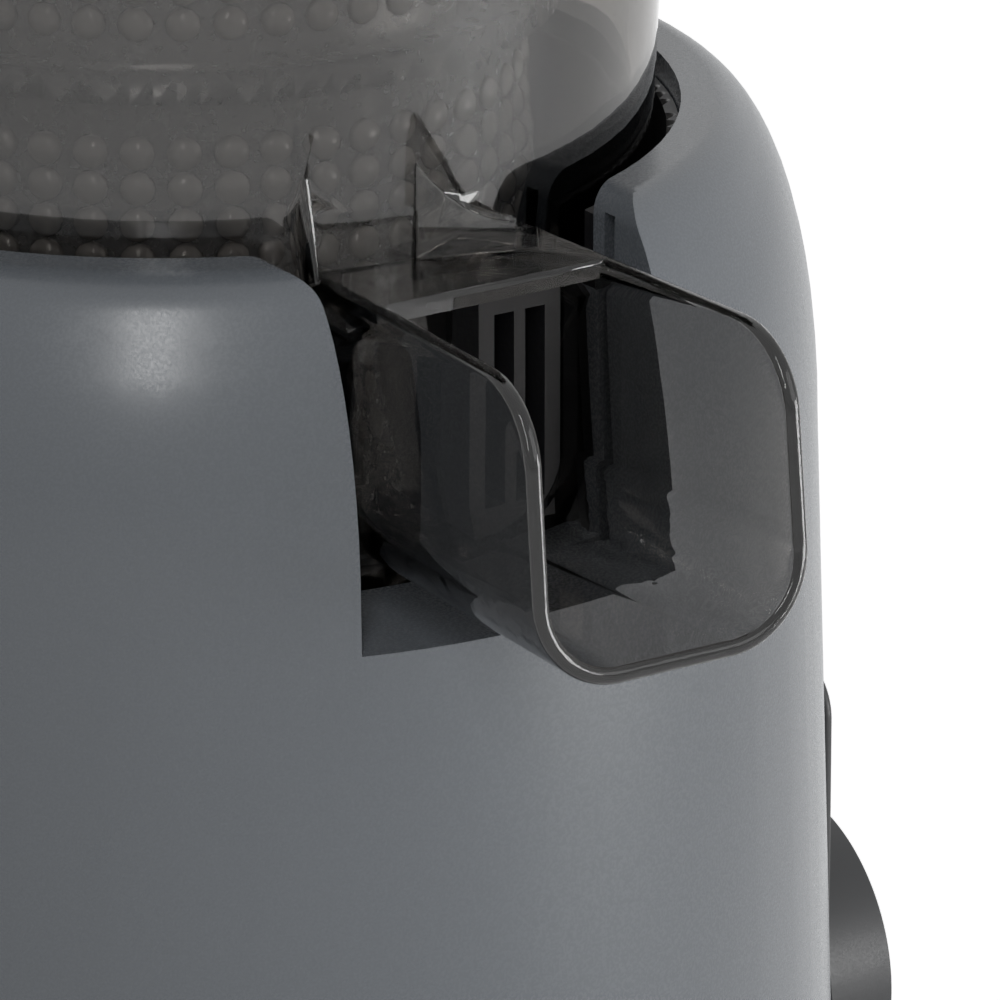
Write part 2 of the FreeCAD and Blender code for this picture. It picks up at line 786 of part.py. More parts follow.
def make_armature_shaft():
    """Motor shaft with the first pinion cut on it."""
    pinion_low = first_wheel_bottom - pinion_overhang
    shaft = rod(motor_shaft_radius, lower_plate_bottom, pinion_low + 1)
    pinion = gear(pinion_teeth, pinion_low, first_wheel_bottom + first_wheel_width + pinion_overhang, 90)
    return shaft.fuse(pinion).removeSplitter()


def make_armature_core():
    """Laminated armature with twelve slots."""
    core = tube(motor_shaft_radius, stator_bore - armature_gap, stator_bottom + 1, stator_top - 1)
    slot = block(stator_bore - 8, stator_bore, -1.2, 1.2, 0, crest_height)
    return core.cut(around(slot, range(0, 360, 30)))


def make_armature_windings():
    """Wound heads above and below the armature core."""
    heads = []
    radius = stator_bore - 4
    for low, high in ((stator_bottom - 5, stator_bottom + 1), (stator_top - 1, stator_top + 5)):
        heads.append(turned([(motor_shaft_radius, low), (radius - 4, low), (radius, low + 2),
                             (radius, high - 2), (radius - 2, high), (motor_shaft_radius, high)]))
    return group(heads)


def make_commutator():
    """Copper commutator."""
    return tube(motor_shaft_radius, commutator_radius, commutator_top - commutator_height, commutator_top)


def make_cooling_fan():
    """Fan under the upper bracket."""
    high = motor_plate_bottom - fan_clear
    low = high - fan_height
    disc = tube(motor_shaft_radius, fan_radius - 6, high - 1.5, high)
    hub = tube(motor_shaft_radius, motor_shaft_radius + 5, low, high)
    inner = motor_shaft_radius + 4
    reach = tie_bolt_circle - tie_pillar_radius - 1
    blade = block(inner, reach, -0.8, 0.8, low, high - 1)
    return fused([disc, hub] + around(blade, [360 * i / fan_blades for i in range(fan_blades)]))


def make_brushes():
    """Carbon brushes on the commutator."""
    brushes = []
    for side in (-1, 1):
        y0 = side * (commutator_radius + brush_gap)
        y1 = side * (commutator_radius + brush_gap + brush_length)
        brushes.append(block(-brush_width / 2, brush_width / 2, min(y0, y1), max(y0, y1),
                             commutator_middle - brush_width / 2, commutator_middle + brush_width / 2))
    return group(brushes)


def make_brush_holders():
    """Brass sleeves of the brushes, on their posts."""
    holders = []
    half = brush_width / 2 + brush_holder_wall
    for side in (-1, 1):
        y0 = side * (commutator_radius + brush_gap + 1)
        y1 = side * (commutator_radius + brush_gap + brush_length)
        box = block(-half, half, min(y0, y1), max(y0, y1), commutator_middle - half,
                    commutator_middle + half)
        core = block(-brush_width / 2, brush_width / 2, min(y0, y1) - 1, max(y0, y1) + 1,
                     commutator_middle - brush_width / 2, commutator_middle + brush_width / 2)
        holders.append(box.cut(core))
    return group(holders)


def make_control_board():
    """Circuit board with its capacitor, relay and terminals."""
    x1 = -board_place
    low = cavity_bottom
    half = board_width / 2
    board = block(x1 - board_thickness, x1, -half, half, low, low + board_height)
    parts = [board]
    for size, place in ((relay_size, relay_place), (terminal_size, terminal_place)):
        y, z = place[0], low + place[1]
        parts.append(block(x1, x1 + size[0], y, y + size[1], z, z + size[2]))
    y, z = capacitor_place[0], low + capacitor_place[1]
    parts.append(rod_x(capacitor_radius, x1, x1 + capacitor_length, y, z))
    return fused(parts)


def make_safety_switch():
    """Switch under the deck that proves the bowl is in place."""
    x = -safety_switch_place
    length, width, height = safety_switch_size
    margin = safety_lever_margin
    half = length / 2
    y0 = safety_switch_shift - width / 2
    y1 = safety_switch_shift + width / 2
    body = block(x - half, x + half, y0, y1, deck_bottom - height, deck_bottom)
    lever = block(x - half + margin, x + half - margin, y0 + margin, y1 - margin,
                  deck_bottom - height - margin, deck_bottom - height)
    return body.fuse(lever).removeSplitter()


def make_rotary_switch():
    """Selector switch behind the control plate."""
    x1 = boss_face - boss_depth
    half = switch_size / 2
    body = block(x1 - switch_depth, x1, -half, half, knob_height - half, knob_height + half)
    neck = rod_x(switch_neck_radius, x1 - 1, plate_face, 0, knob_height)
    bore = rod_x(switch_shaft_radius + running_fit, x1 - switch_shaft_depth, plate_face + 1, 0, knob_height)
    return body.fuse(neck).cut(bore).removeSplitter()


def make_control_plate():
    """Thin trim plate on the housing's boss."""
    plate = panel_x(boss_face, plate_face)
    return plate.cut(rod_x(switch_neck_radius, boss_face - 1, plate_face + 1, 0, knob_height))


def make_switch_shaft():
    """Spindle that the knob turns."""
    x0 = boss_face - boss_depth - switch_shaft_depth
    return rod_x(switch_shaft_radius, x0 + running_fit, plate_face + knob_gap + knob_depth * 0.6,
                 0, knob_height)


def make_knob():
    """Knob with a round skirt and a finger bar."""
    x0 = plate_face + knob_gap
    x1 = x0 + knob_depth
    skirt = Part.makeCone(knob_skirt_radius, knob_radius, knob_depth, V(x0, 0, knob_height), X_AXIS)
    dish = Part.makeCone(knob_radius - 6, knob_radius - 3, 6, V(x1 - 6, 0, knob_height), X_AXIS)
    bar = block(x1 - 7, x1, -knob_grip_half_width, knob_grip_half_width,
                knob_height - knob_radius + 2, knob_height + knob_radius - 2)
    knob = skirt.cut(dish).fuse(bar)
    bore = rod_x(switch_shaft_radius, x0 - 1, x0 + knob_depth * 0.6, 0, knob_height)
    groove = block(x1 - pointer_depth, x1 + 1, -pointer_width / 2, pointer_width / 2,
                   knob_height + knob_radius / 3, knob_height + knob_radius - 3)
    return knob.cut([bore, groove]).removeSplitter()


def make_knob_pointer():
    """Pale line let into the knob's bar."""
    x1 = plate_face + knob_gap + knob_depth
    return block(x1 - pointer_depth, x1, -pointer_width / 2, pointer_width / 2,
                 knob_height + knob_radius / 3, knob_height + knob_radius - 3)


def make_cord_gland():
    """Bush in the back wall where the mains lead enters."""
    wall = housing_outer(cord_height)
    body = rod_y(gland_radius, wall - gland_length / 2, wall + gland_length / 4, 0, cord_height)
    flange = rod_y(gland_flange_radius, wall - gland_seat, wall + gland_flange, 0, cord_height)
    bore = rod_y(cord_bore, wall - gland_length, wall + gland_length, 0, cord_height)
    return body.fuse(flange).cut(bore).removeSplitter()


def chute_section(y, proud, top):
    """Wire of the chute's U outline at a place along it; proud is how far it stands outside."""
    share = (-y - chute_root_reach) / (chute_mouth_reach - chute_root_reach)
    half = chute_root_half_width + (chute_mouth_half_width - chute_root_half_width) * share + proud
    middle = chute_mouth_shift * share
    low = chute_bottom - proud
    corner = chute_corner_radius + proud
    bend = corner * (1 - math.cos(math.pi / 4))
    left = middle - half
    right = middle + half
    edges = [
        Part.makeLine(V(left, y, top), V(left, y, low + corner)),
        Part.Arc(V(left, y, low + corner), V(left + bend, y, low + bend),
                 V(left + corner, y, low)).toShape(),
        Part.makeLine(V(left + corner, y, low), V(right - corner, y, low)),
        Part.Arc(V(right - corner, y, low), V(right - bend, y, low + bend),
                 V(right, y, low + corner)).toShape(),
        Part.makeLine(V(right, y, low + corner), V(right, y, top)),
        Part.makeLine(V(right, y, top), V(left, y, top)),
    ]
    return Part.Wire(edges)


def chute_loft(y0, y1, proud, top):
    """Solid of the chute outline between two places along it."""
    return Part.makeLoft([chute_section(y0, proud, top), chute_section(y1, proud, top)], True, True)


def mouth_keeper():
    """Space behind the leaning mouth plane, with the rounded top corner of the side walls."""
    slope = chute_mouth_lean / (chute_top - chute_bottom)
    reach = chute_mouth_reach
    low = chute_bottom - chute_corner_radius
    lean = math.atan(slope)
    trim = chute_mouth_corner * math.tan((math.pi / 2 - lean) / 2)
    corner = V(0, -reach, chute_top)
    start = V(0, -reach + trim, chute_top)
    along = V(0, -math.sin(lean), -math.cos(lean))
    end = corner + along * trim
    centre = V(0, start.y, chute_top - chute_mouth_corner)
    outward = (start + end) * 0.5 - centre
    middle = centre + outward * (chute_mouth_corner / outward.Length)
    foot = V(0, -reach - slope * (chute_top - low), low)
    edges = [
        Part.makeLine(V(0, 0, chute_top), start),
        Part.Arc(start, middle, end).toShape(),
        Part.makeLine(end, foot),
        Part.makeLine(foot, V(0, 0, low)),
        Part.makeLine(V(0, 0, low), V(0, 0, chute_top)),
    ]
    width = 4 * chute_mouth_half_width
    keeper = Part.Face(Part.Wire(edges)).extrude(V(width, 0, 0))
    keeper.translate(V(-width / 2, 0, 0))
    return keeper


def make_trough():
    """The chute's walls and roof, with its rim rounded."""
    start = -bowl_outer(chute_bottom) + 2 * bowl_wall
    end = -chute_mouth_reach - 3 * chute_mouth_lean
    shell = chute_loft(start, end, 0, chute_top).common(mouth_keeper())
    roof_low = chute_top - chute_roof_thickness
    covered = chute_loft(start + 1, -chute_roof_reach, -chute_wall, roof_low)
    opened = chute_loft(-chute_roof_reach, end - 1, -chute_wall, chute_top + chute_corner_radius)
    trough = shell.cut(covered.fuse(opened))
    rim = [edge for edge in trough.Edges if on_rim(edge)]
    return trough.makeFillet(chute_rim_round, rim)


def on_rim(edge):
    """True for the edges of the chute's rim: those of its mouth and of its open top."""
    slope = chute_mouth_lean / (chute_top - chute_bottom)
    middle = edge.valueAt((edge.FirstParameter + edge.LastParameter) / 2)
    mouth_y = -chute_mouth_reach - slope * (chute_top - middle.z)
    box = edge.BoundBox
    near_mouth = box.YMax < mouth_y + chute_mouth_corner + 1 and middle.y < mouth_y + chute_mouth_corner
    outermost = abs(middle.y - mouth_y) < chute_mouth_corner / 3
    on_top = box.ZMin > chute_top - 0.01 and box.YMin < -chute_roof_reach - 1
    return (near_mouth and outermost) or on_top


def make_wall_ribs():
    """Ledge, rib and web that stiffen the chute's root."""
    ledges = []
    low = chute_top - ledge_drop
    for side in (-1, 1):
        inner = side * (chute_root_half_width - chute_wall / 2)
        outer = side * (chute_root_half_width + ledge_width)
        ledges.append(block(min(inner, outer), max(inner, outer), -ledge_reach,
                            -bowl_outer(chute_top) + bowl_wall + 2, low - ledge_thickness, low))
    wall = math.sqrt(bowl_outer(chute_top) ** 2 - rib_place ** 2)
    rib = face_of([V(0, -wall + bowl_wall / 2, chute_top - 1), V(0, -wall - rib_width, chute_top - 1),
                   V(0, -wall - rib_width / 3, chute_top + rib_height),
                   V(0, -wall + bowl_wall / 2, chute_top + rib_height)]).extrude(V(rib_thickness, 0, 0))
    rib.translate(V(-rib_place, 0, 0))
    start = V(web_start, -bowl_outer(chute_top) + bowl_wall / 2, 0)
    end = V(web_end, -web_end_reach, 0)
    top = [V(start.x, start.y, chute_top + web_height), V(end.x, end.y, chute_top + web_end_height)]
    sag = (top[0] + top[1]) * 0.5 - V(0, 0, web_end_height / 2)
    low = chute_top - 1
    edges = [
        Part.Arc(top[0], sag, top[1]).toShape(),
        Part.makeLine(top[1], V(end.x, end.y, low)),
        Part.makeLine(V(end.x, end.y, low), V(start.x, start.y, low)),
        Part.makeLine(V(start.x, start.y, low), top[0]),
    ]
    across = Z_AXIS.cross(end - start)
    across.normalize()
    web = Part.Face(Part.Wire(edges)).extrude(across * web_thickness)
    return ledges + [rib, web]


def bowl_room():
    """Space inside the bowl's wall."""
    return turned([(0, seat_height), (bowl_outer(seat_height) - bowl_wall, seat_height),
                   (bowl_outer(bowl_top) - bowl_wall, bowl_top), (0, bowl_top)])


def make_bowl():
    """Smoky clear bowl with its pulp chute, ribs and lugs, moulded in one."""
    solid = turned([(0, seat_height), (bowl_outer(seat_height), seat_height),
                    (bowl_outer(bowl_top), bowl_top), (0, bowl_top)])
    lug = [wedge_ring(bowl_outer(bowl_top) - bowl_wall / 2, bowl_outer(bowl_top) + lug_reach,
                      bowl_top - lug_drop - lug_height, bowl_top - lug_drop, lug_span,
                      360 * i / lug_count + lug_start) for i in range(lug_count)]
    bowl = fused([solid, make_trough()] + make_wall_ribs() + lug).cut(bowl_room())
    outlet = block(outlet_left, outlet_right, -outlet_reach, -strainer_radius,
                   outlet_low, outlet_low + outlet_height)
    port = rod_x(spout_radius + weld_gap, spout_mouth, 0, 0, spout_height)
    return bowl.cut([outlet, port]).removeSplitter()


def make_bowl_base():
    """Floor of the bowl with its foot ring and hub, welded into the wall."""
    low = bowl_outer(seat_height) - bowl_wall - weld_gap
    high = bowl_outer(bowl_floor_top) - bowl_wall - weld_gap
    foot = bowl_outer(seat_height) - bowl_foot_width
    base = turned([(0, bowl_floor_bottom), (foot, bowl_floor_bottom), (foot, seat_height),
                   (low, seat_height), (high, bowl_floor_top), (0, bowl_floor_top)])
    base = base.fuse(rod(hub_radius, bowl_floor_bottom, hub_top))
    return base.cut(rod(hub_bore, 0, bowl_top)).removeSplitter()


def make_spout_nozzle():
    """Juice spout with its flange and the ears of the cap's hinge, bonded into the bowl's side."""
    wall = bowl_outer(spout_height)
    spout = rod_x(spout_radius, spout_mouth, bowl_wall - wall, 0, spout_height).cut(bowl_room())
    solid = turned([(0, seat_height), (bowl_outer(seat_height) + weld_gap, seat_height),
                    (bowl_outer(bowl_top) + weld_gap, bowl_top), (0, bowl_top)])
    flange = rod_x(spout_flange_radius, -wall - spout_flange_thickness, 0, 0, spout_height).cut(solid)
    ears = []
    for side in (-1, 1):
        y0 = side * (hinge_knuckle_width / 2 + hinge_gap)
        y1 = side * (hinge_knuckle_width / 2 + hinge_gap + hinge_ear_thickness)
        ear = rod_y(hinge_barrel_radius, min(y0, y1), max(y0, y1), hinge_x, hinge_z)
        web = block(spout_mouth, hinge_x + hinge_barrel_radius, min(y0, y1), max(y0, y1),
                    spout_height + spout_radius / 2, hinge_z)
        ears += [ear, web]
    bore = rod_x(spout_bore, spout_mouth - 1, 0, 0, spout_height)
    pin = rod_y(hinge_pin_radius, -spout_cap_radius, spout_cap_radius, hinge_x, hinge_z)
    return fused([spout, flange] + ears).cut([bore, pin]).removeSplitter()


def make_bowl_seal():
    """Silicone packing in the bowl's hub."""
    return tube(sleeve_radius + seal_fit, hub_bore, bowl_floor_bottom + bowl_floor, hub_top)


def make_pulp_outlet():
    """Black silicone duct between the strainer's port and the chute, with upright slots."""
    body = block(outlet_left, outlet_right, -outlet_reach, -strainer_radius - outlet_rim / 4,
                 outlet_low, outlet_low + outlet_height)
    slots = [block(x - outlet_slot_width / 2, x + outlet_slot_width / 2, -outlet_reach - 1, 0,
                   outlet_low + outlet_rim, outlet_low + outlet_height - outlet_rim)
             for x in (outlet_offset - outlet_slot_spacing / 2, outlet_offset + outlet_slot_spacing / 2)]
    return body.cut(slots)


def make_strainer():
    """Strainer basket with its band, top flange and pulp port."""
    top = bowl_top - strainer_top_drop
    inner = strainer_radius - strainer_wall
    band_low = crest_height + band_rise
    flange_low = top - strainer_flange_height
    basket = turned([(inner, bowl_floor_top), (strainer_radius, bowl_floor_top),
                     (strainer_radius, band_low), (band_radius, band_low),
                     (band_radius, band_low + band_height), (strainer_radius, band_low + band_height),
                     (strainer_radius, flange_low), (strainer_flange_radius, flange_low),
                     (strainer_flange_radius, top), (inner, top)])
    port = block(outlet_offset - strainer_port_half_width, outlet_offset + strainer_port_half_width,
                 -2 * strainer_radius, 0,
                 bowl_floor_top + 1, bowl_floor_top + strainer_port_height)
    return basket.cut(port)


def auger_section(z, turn, core, flight):
    """Closed smooth wire of the screw's section: a round core with one lobe for each flight."""
    count = 40
    points = []
    for i in range(count):
        angle = 2 * math.pi * i / count
        lobe = (0.5 + 0.5 * math.cos(auger_flights * angle)) ** 5
        radius = core + (flight - core) * lobe
        points.append(V(radius * math.cos(angle + turn), radius * math.sin(angle + turn), z))
    curve = Part.BSplineCurve()
    curve.interpolate(points + [points[0]])
    return Part.Wire([curve.toShape()])


def make_auger():
    """Pressing screw: tapered core with helical flights, lofted through turned sections."""
    steps = 24
    wires = []
    for i in range(steps + 1):
        share = i / steps
        z = auger_bottom + (auger_top - auger_bottom) * share
        core = auger_core_bottom_radius + (auger_core_top_radius - auger_core_bottom_radius) * share
        flight = auger_flight_radius + (auger_top_radius - auger_flight_radius) * share
        wires.append(auger_section(z, math.radians(auger_twist) * share, core, flight))
    screw = Part.makeLoft(wires, True, False)
    pin = rod(auger_pin_radius, auger_top - 1, lid_plate_bottom - auger_recess_gap)
    recess = rod(hub_radius + auger_recess_gap, auger_bottom - 1, hub_top + auger_recess_gap)
    socket = rod(sleeve_radius, auger_bottom - 1, sleeve_top)
    return screw.fuse(pin).cut([recess, socket])


def make_auger_sleeve():
    """Metal socket moulded into the auger, driven by the hexagon."""
    sleeve = rod(sleeve_radius, sleeve_bottom, sleeve_top)
    return sleeve.cut(hexagon(hex_across_flats + 2 * hex_fit, sleeve_bottom - 1, sleeve_top - sleeve_roof))


def make_spout_cap():
    """Flap that shuts the juice spout, with its hinge arm and thumb tab."""
    x1 = spout_mouth - spout_seal_thickness
    x0 = x1 - spout_cap_thickness
    disc = rod_x(spout_cap_radius, x0, x1, 0, spout_height)
    half = hinge_knuckle_width / 2
    arm = block(x0, x1, -half, half, spout_height, hinge_z + hinge_barrel_radius)
    bridge = block(x0, hinge_x, -half, half, hinge_z - hinge_barrel_radius / 2,
                   hinge_z + hinge_barrel_radius)
    barrel = rod_y(hinge_barrel_radius, -half, half, hinge_x, hinge_z)
    tab = block(x0 - 6, x0 + 1, -half, half, hinge_z + hinge_barrel_radius - 2.5,
                hinge_z + hinge_barrel_radius)
    cap = fused([disc, arm, bridge, barrel, tab])
    bore = rod_y(hinge_pin_radius + hinge_pin_fit, -spout_cap_radius, spout_cap_radius, hinge_x, hinge_z)
    return cap.cut(bore)


def make_spout_seal():
    """Silicone disc on the inside of the cap."""
    return rod_x(spout_radius - 0.6, spout_mouth - spout_seal_thickness, spout_mouth, 0, spout_height)


def make_hinge_pin():
    """Steel pin of the cap's hinge."""
    half = hinge_knuckle_width / 2 + hinge_gap + hinge_ear_thickness
    return rod_y(hinge_pin_radius, -half, half, hinge_x, hinge_z)


def make_lid():
    """Lid with its bayonet lugs, feed tube and bearing boss."""
    inner = bowl_outer(bowl_top) + lug_reach + lid_skirt_gap
    outer = inner + lid_skirt_wall
    plate = rod(outer, lid_plate_bottom, lid_plate_top)
    skirt = tube(inner, outer, lid_plate_top - lid_skirt_depth, lid_plate_top)
    stem = rod(tube_bore + tube_wall, lid_plate_bottom, tube_top, 0, tube_offset)
    boss = rod(lid_boss_radius, lid_plate_bottom - lid_boss_depth, lid_plate_bottom + 1)
    high = bowl_top - lug_drop - lug_height - hinge_gap
    lugs = [wedge_ring(bowl_outer(bowl_top) + lid_skirt_gap, inner + 1, lid_plate_top - lid_skirt_depth, high,
                       lug_span, 360 * i / lug_count + lug_start) for i in range(lug_count)]
    lid = fused([plate, skirt, stem, boss] + lugs)
    feed = rod(tube_bore, lid_plate_bottom - 1, tube_top + 1, 0, tube_offset)
    bush = rod(lid_bush_radius, 0, lid_plate_bottom)
    return lid.cut([feed, bush]).removeSplitter()


def make_feed_tray():
    """Flared tray that fits over the top of the feed tube."""
    neck = tube_bore + tube_wall
    tray = turned([(neck, tube_top - tray_grip), (neck + tray_wall, tube_top - tray_grip),
                   (neck + tray_wall, tube_top - tray_wall), (tray_radius, tube_top + tray_rise - tray_wall),
                   (tray_radius, tube_top + tray_rise), (tray_radius - tray_wall, tube_top + tray_rise),
                   (neck + tray_wall / 2, tube_top), (neck, tube_top)])
    tray.translate(V(0, tube_offset, 0))
    return tray


def make_lid_bush():
    """Bush that holds the top of the auger."""
    return tube(auger_pin_radius + auger_pin_fit, lid_bush_radius, lid_plate_bottom - lid_boss_depth,
                lid_plate_bottom)


def make_lid_seal():
    """Silicone ring between the bowl's rim and the lid."""
    rim = bowl_outer(bowl_top)
    return tube(rim - bowl_wall - 2, rim, bowl_top, lid_plate_bottom)


def make_pusher():
    """Hollow pusher that stands in the feed tube."""
    radius = tube_bore - pusher_gap
    low = lid_plate_bottom + pusher_end_gap
    stem = rod(radius, low, tube_top, 0, tube_offset)
    flange = rod(tube_bore + tube_wall - panel_gap, tube_top, tube_top + pusher_flange, 0, tube_offset)
    room = rod(radius - pusher_wall, low + pusher_wall, tube_top + pusher_flange + 1, 0, tube_offset)
    return stem.fuse(flange).cut(room).removeSplitter()


def make_pusher_cap():
    """Closed grip on top of the pusher."""
    z0 = tube_top + pusher_flange
    plug = rod(tube_bore - pusher_gap - pusher_wall, z0 - pusher_flange, z0, 0, tube_offset)
    base = rod(tube_bore, z0, z0 + 3, 0, tube_offset)
    grip = rod(pusher_grip_radius, z0 + 2, z0 + pusher_grip_height, 0, tube_offset)
    rounded = grip.makeFillet(4, [edge for edge in grip.Edges if edge.BoundBox.ZMin > z0 + 3])
    return fused([plug, base, rounded])


pieces = {
    "housing_shell": make_housing_shell(),
    "seat_liner": make_seat_liner(),
    "base_plate": make_base_plate(),
    "base_screws": make_base_screws(),
    "gearbox_case": make_gearbox_case(),
    "gearbox_lid": make_gearbox_lid(),
    "gearbox_screws": make_gearbox_screws(),
    "countershaft_pin": make_countershaft(),
    "double_gear": make_double_gear(),
    "output_gear": make_output_gear(),
    "output_shaft": make_output_shaft(),
    "output_bush": make_output_bush(),
    "shaft_seal": make_shaft_seal(),
    "motor_bracket_upper": make_motor_bracket_upper(),
    "motor_bracket_lower": make_motor_bracket_lower(),
    "motor_bearings": make_motor_bearings(),
    "motor_tie_bolts": make_tie_bolts(),
    "stator_core": make_stator_core(),
    "field_coils": make_field_coils(),
    "armature_shaft": make_armature_shaft(),
    "armature_core": make_armature_core(),
    "armature_windings": make_armature_windings(),
    "commutator": make_commutator(),
    "cooling_fan": make_cooling_fan(),
    "carbon_brushes": make_brushes(),
    "brush_holders": make_brush_holders(),
    "control_board": make_control_board(),
    "safety_switch": make_safety_switch(),
    "rotary_switch": make_rotary_switch(),
    "control_plate": make_control_plate(),
    "switch_shaft": make_switch_shaft(),
    "knob": make_knob(),
    "knob_pointer": make_knob_pointer(),
    "cord_gland": make_cord_gland(),
    "bowl": make_bowl(),
    "bowl_base": make_bowl_base(),
    "spout_nozzle": make_spout_nozzle(),
    "bowl_seal": make_bowl_seal(),
    "pulp_outlet": make_pulp_outlet(),
    "strainer": make_strainer(),
    "auger": make_auger(),
    "auger_sleeve": make_auger_sleeve(),
    "spout_cap": make_spout_cap(),
    "spout_seal": make_spout_seal(),
    "hinge_pin": make_hinge_pin(),
    "lid": make_lid(),
    "feed_tray": make_feed_tray(),
    "lid_bush": make_lid_bush(),
    "lid_seal": make_lid_seal(),
    "pusher": make_pusher(),
    "pusher_cap": make_pusher_cap(),
}
for number, angle in enumerate(foot_angles, 1):
    pieces["foot_%d" % number] = make_foot(angle)

os.makedirs("parts", exist_ok=True)
for name, shape in pieces.items():
    shape.exportStep("parts/%s.step" % name)
    print(name, len(shape.Solids), shape.isValid(), round(sum(s.Volume for s in shape.Solids) / 1000, 2))
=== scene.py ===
"""Looks of an upright cold press juicer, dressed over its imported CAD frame."""

import json
import logging
import math
from dataclasses import dataclass, field
from enum import Enum
from typing import Dict, List, Optional, Sequence, Tuple, Union

import bmesh
import bpy
from mathutils import Matrix, Vector

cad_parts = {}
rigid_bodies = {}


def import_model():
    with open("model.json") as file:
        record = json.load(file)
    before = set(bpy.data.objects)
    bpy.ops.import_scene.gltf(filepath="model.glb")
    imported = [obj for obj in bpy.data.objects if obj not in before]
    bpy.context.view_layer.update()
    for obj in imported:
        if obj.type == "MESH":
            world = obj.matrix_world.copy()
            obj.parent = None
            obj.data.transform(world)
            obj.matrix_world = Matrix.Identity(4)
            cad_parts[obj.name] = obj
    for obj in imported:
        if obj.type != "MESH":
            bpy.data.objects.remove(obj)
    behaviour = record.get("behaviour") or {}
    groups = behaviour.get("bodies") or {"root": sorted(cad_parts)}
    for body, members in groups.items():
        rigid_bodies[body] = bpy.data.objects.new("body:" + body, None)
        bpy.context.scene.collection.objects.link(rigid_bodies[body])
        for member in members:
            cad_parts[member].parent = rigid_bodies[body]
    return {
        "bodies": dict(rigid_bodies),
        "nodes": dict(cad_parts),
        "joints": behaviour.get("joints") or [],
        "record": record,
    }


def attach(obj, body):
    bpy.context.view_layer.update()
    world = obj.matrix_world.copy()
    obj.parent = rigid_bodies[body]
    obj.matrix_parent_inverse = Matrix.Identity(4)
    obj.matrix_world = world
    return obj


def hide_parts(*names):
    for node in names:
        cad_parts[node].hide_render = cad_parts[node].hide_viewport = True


log = logging.getLogger("juicer")

MM = 0.001

# Sockets of a colour mix, which can be told apart only by number.
MIX_FACTOR = 0
MIX_FIRST = 6
MIX_SECOND = 7
MIX_RESULT = 2

# Nearly all values of a noise texture lie between these two.
NOISE_LOW = 0.3
NOISE_HIGH = 0.7

# Radians that a wave texture of scale 1 turns by in a metre.
WAVE_RADIANS = 20.0

Colour = Tuple[float, float, float, float]
Inputs = Dict[Union[str, int], object]


class Copolyester(Enum):
    """Skins that the clear plastic comes in, by the name of their finish."""

    CLEAR = "clear_copolyester"
    HAZY = "hazy_copolyester"
    DIMPLE = "dimple_copolyester"


def linear(code: str) -> Colour:
    """Turn an sRGB hex colour into linear light.

    Args:
        code: six hex digits.

    Returns:
        Red, green, blue and an alpha of 1.
    """
    channels = []
    for start in (0, 2, 4):
        value = int(code[start:start + 2], 16) / 255.0
        channels.append(value / 12.92 if value <= 0.04045 else ((value + 0.055) / 1.055) ** 2.4)
    return (channels[0], channels[1], channels[2], 1.0)


def per_metre(size_mm: float) -> float:
    """Scale of a noise texture whose grains are about this many millimetres."""
    return 1.0 / (size_mm * MM)


def direction(azimuth: float, elevation: float) -> Vector:
    """Unit vector towards a place around the juicer.

    Args:
        azimuth: degrees from -Y towards +X.
        elevation: degrees above the horizon.

    Returns:
        The vector.
    """
    turn, rise = math.radians(azimuth), math.radians(elevation)
    return Vector((math.sin(turn) * math.cos(rise), -math.cos(turn) * math.cos(rise), math.sin(rise)))


def add_object(name: str, data: bpy.types.ID) -> bpy.types.Object:
    """Put a new object in the scene.

    Args:
        name: the object's name.
        data: its mesh, lamp or camera.

    Returns:
        The object.
    """
    thing = bpy.data.objects.new(name, data)
    bpy.context.scene.collection.objects.link(thing)
    return thing


def add_node(tree: bpy.types.NodeTree, kind: str, inputs: Optional[Inputs] = None,
             **settings: object) -> bpy.types.Node:
    """Add a node with its settings, its socket values and its links.

    Args:
        tree: the tree that gets the node.
        kind: the node's type name.
        inputs: for each input socket, by name or number, a value or the socket that feeds it.
        settings: properties of the node.

    Returns:
        The new node.
    """
    node = tree.nodes.new(kind)
    for key, value in settings.items():
        setattr(node, key, value)
    for key, value in (inputs or {}).items():
        if isinstance(value, bpy.types.NodeSocket):
            tree.links.new(value, node.inputs[key])
        else:
            node.inputs[key].default_value = value
    return node


def empty_material(name: str) -> Tuple[bpy.types.Material, bpy.types.NodeTree]:
    """Make a material without nodes.

    Args:
        name: the material's name.

    Returns:
        The material and its tree.
    """
    material = bpy.data.materials.new(name)
    material.use_nodes = True
    material.node_tree.nodes.clear()
    return material, material.node_tree


def let_lamps_through(tree: bpy.types.NodeTree, surface: bpy.types.NodeSocket,
                      tint: str) -> bpy.types.NodeSocket:
    """Let lamp light pass a clear wall, so that what is behind it is lit.

    Args:
        tree: the material's tree.
        surface: the shader that every other ray meets.
        tint: the colour that the light takes on.

    Returns:
        The mixed shader.
    """
    path = add_node(tree, "ShaderNodeLightPath")
    passed = add_node(tree, "ShaderNodeBsdfTransparent", {"Color": linear(tint)})
    mix = add_node(tree, "ShaderNodeMixShader", {0: path.outputs["Is Shadow Ray"], 1: surface,
                                                 2: passed.outputs[0]})
    return mix.outputs[0]


def backdrop_rays(tree: bpy.types.NodeTree) -> bpy.types.NodeSocket:
    """Tell the rays that show the backdrop from those that light the juicer.

    Args:
        tree: the tree of the world or the floor.

    Returns:
        1 for camera, gloss and see-through rays, and otherwise 0.
    """
    path = add_node(tree, "ShaderNodeLightPath")
    shown = add_node(tree, "ShaderNodeMath", {0: path.outputs["Is Camera Ray"],
                                              1: path.outputs["Is Glossy Ray"]}, operation="MAXIMUM")
    shown = add_node(tree, "ShaderNodeMath", {0: shown.outputs[0], 1: path.outputs["Is Transmission Ray"]},
                     operation="MAXIMUM")
    return shown.outputs[0]


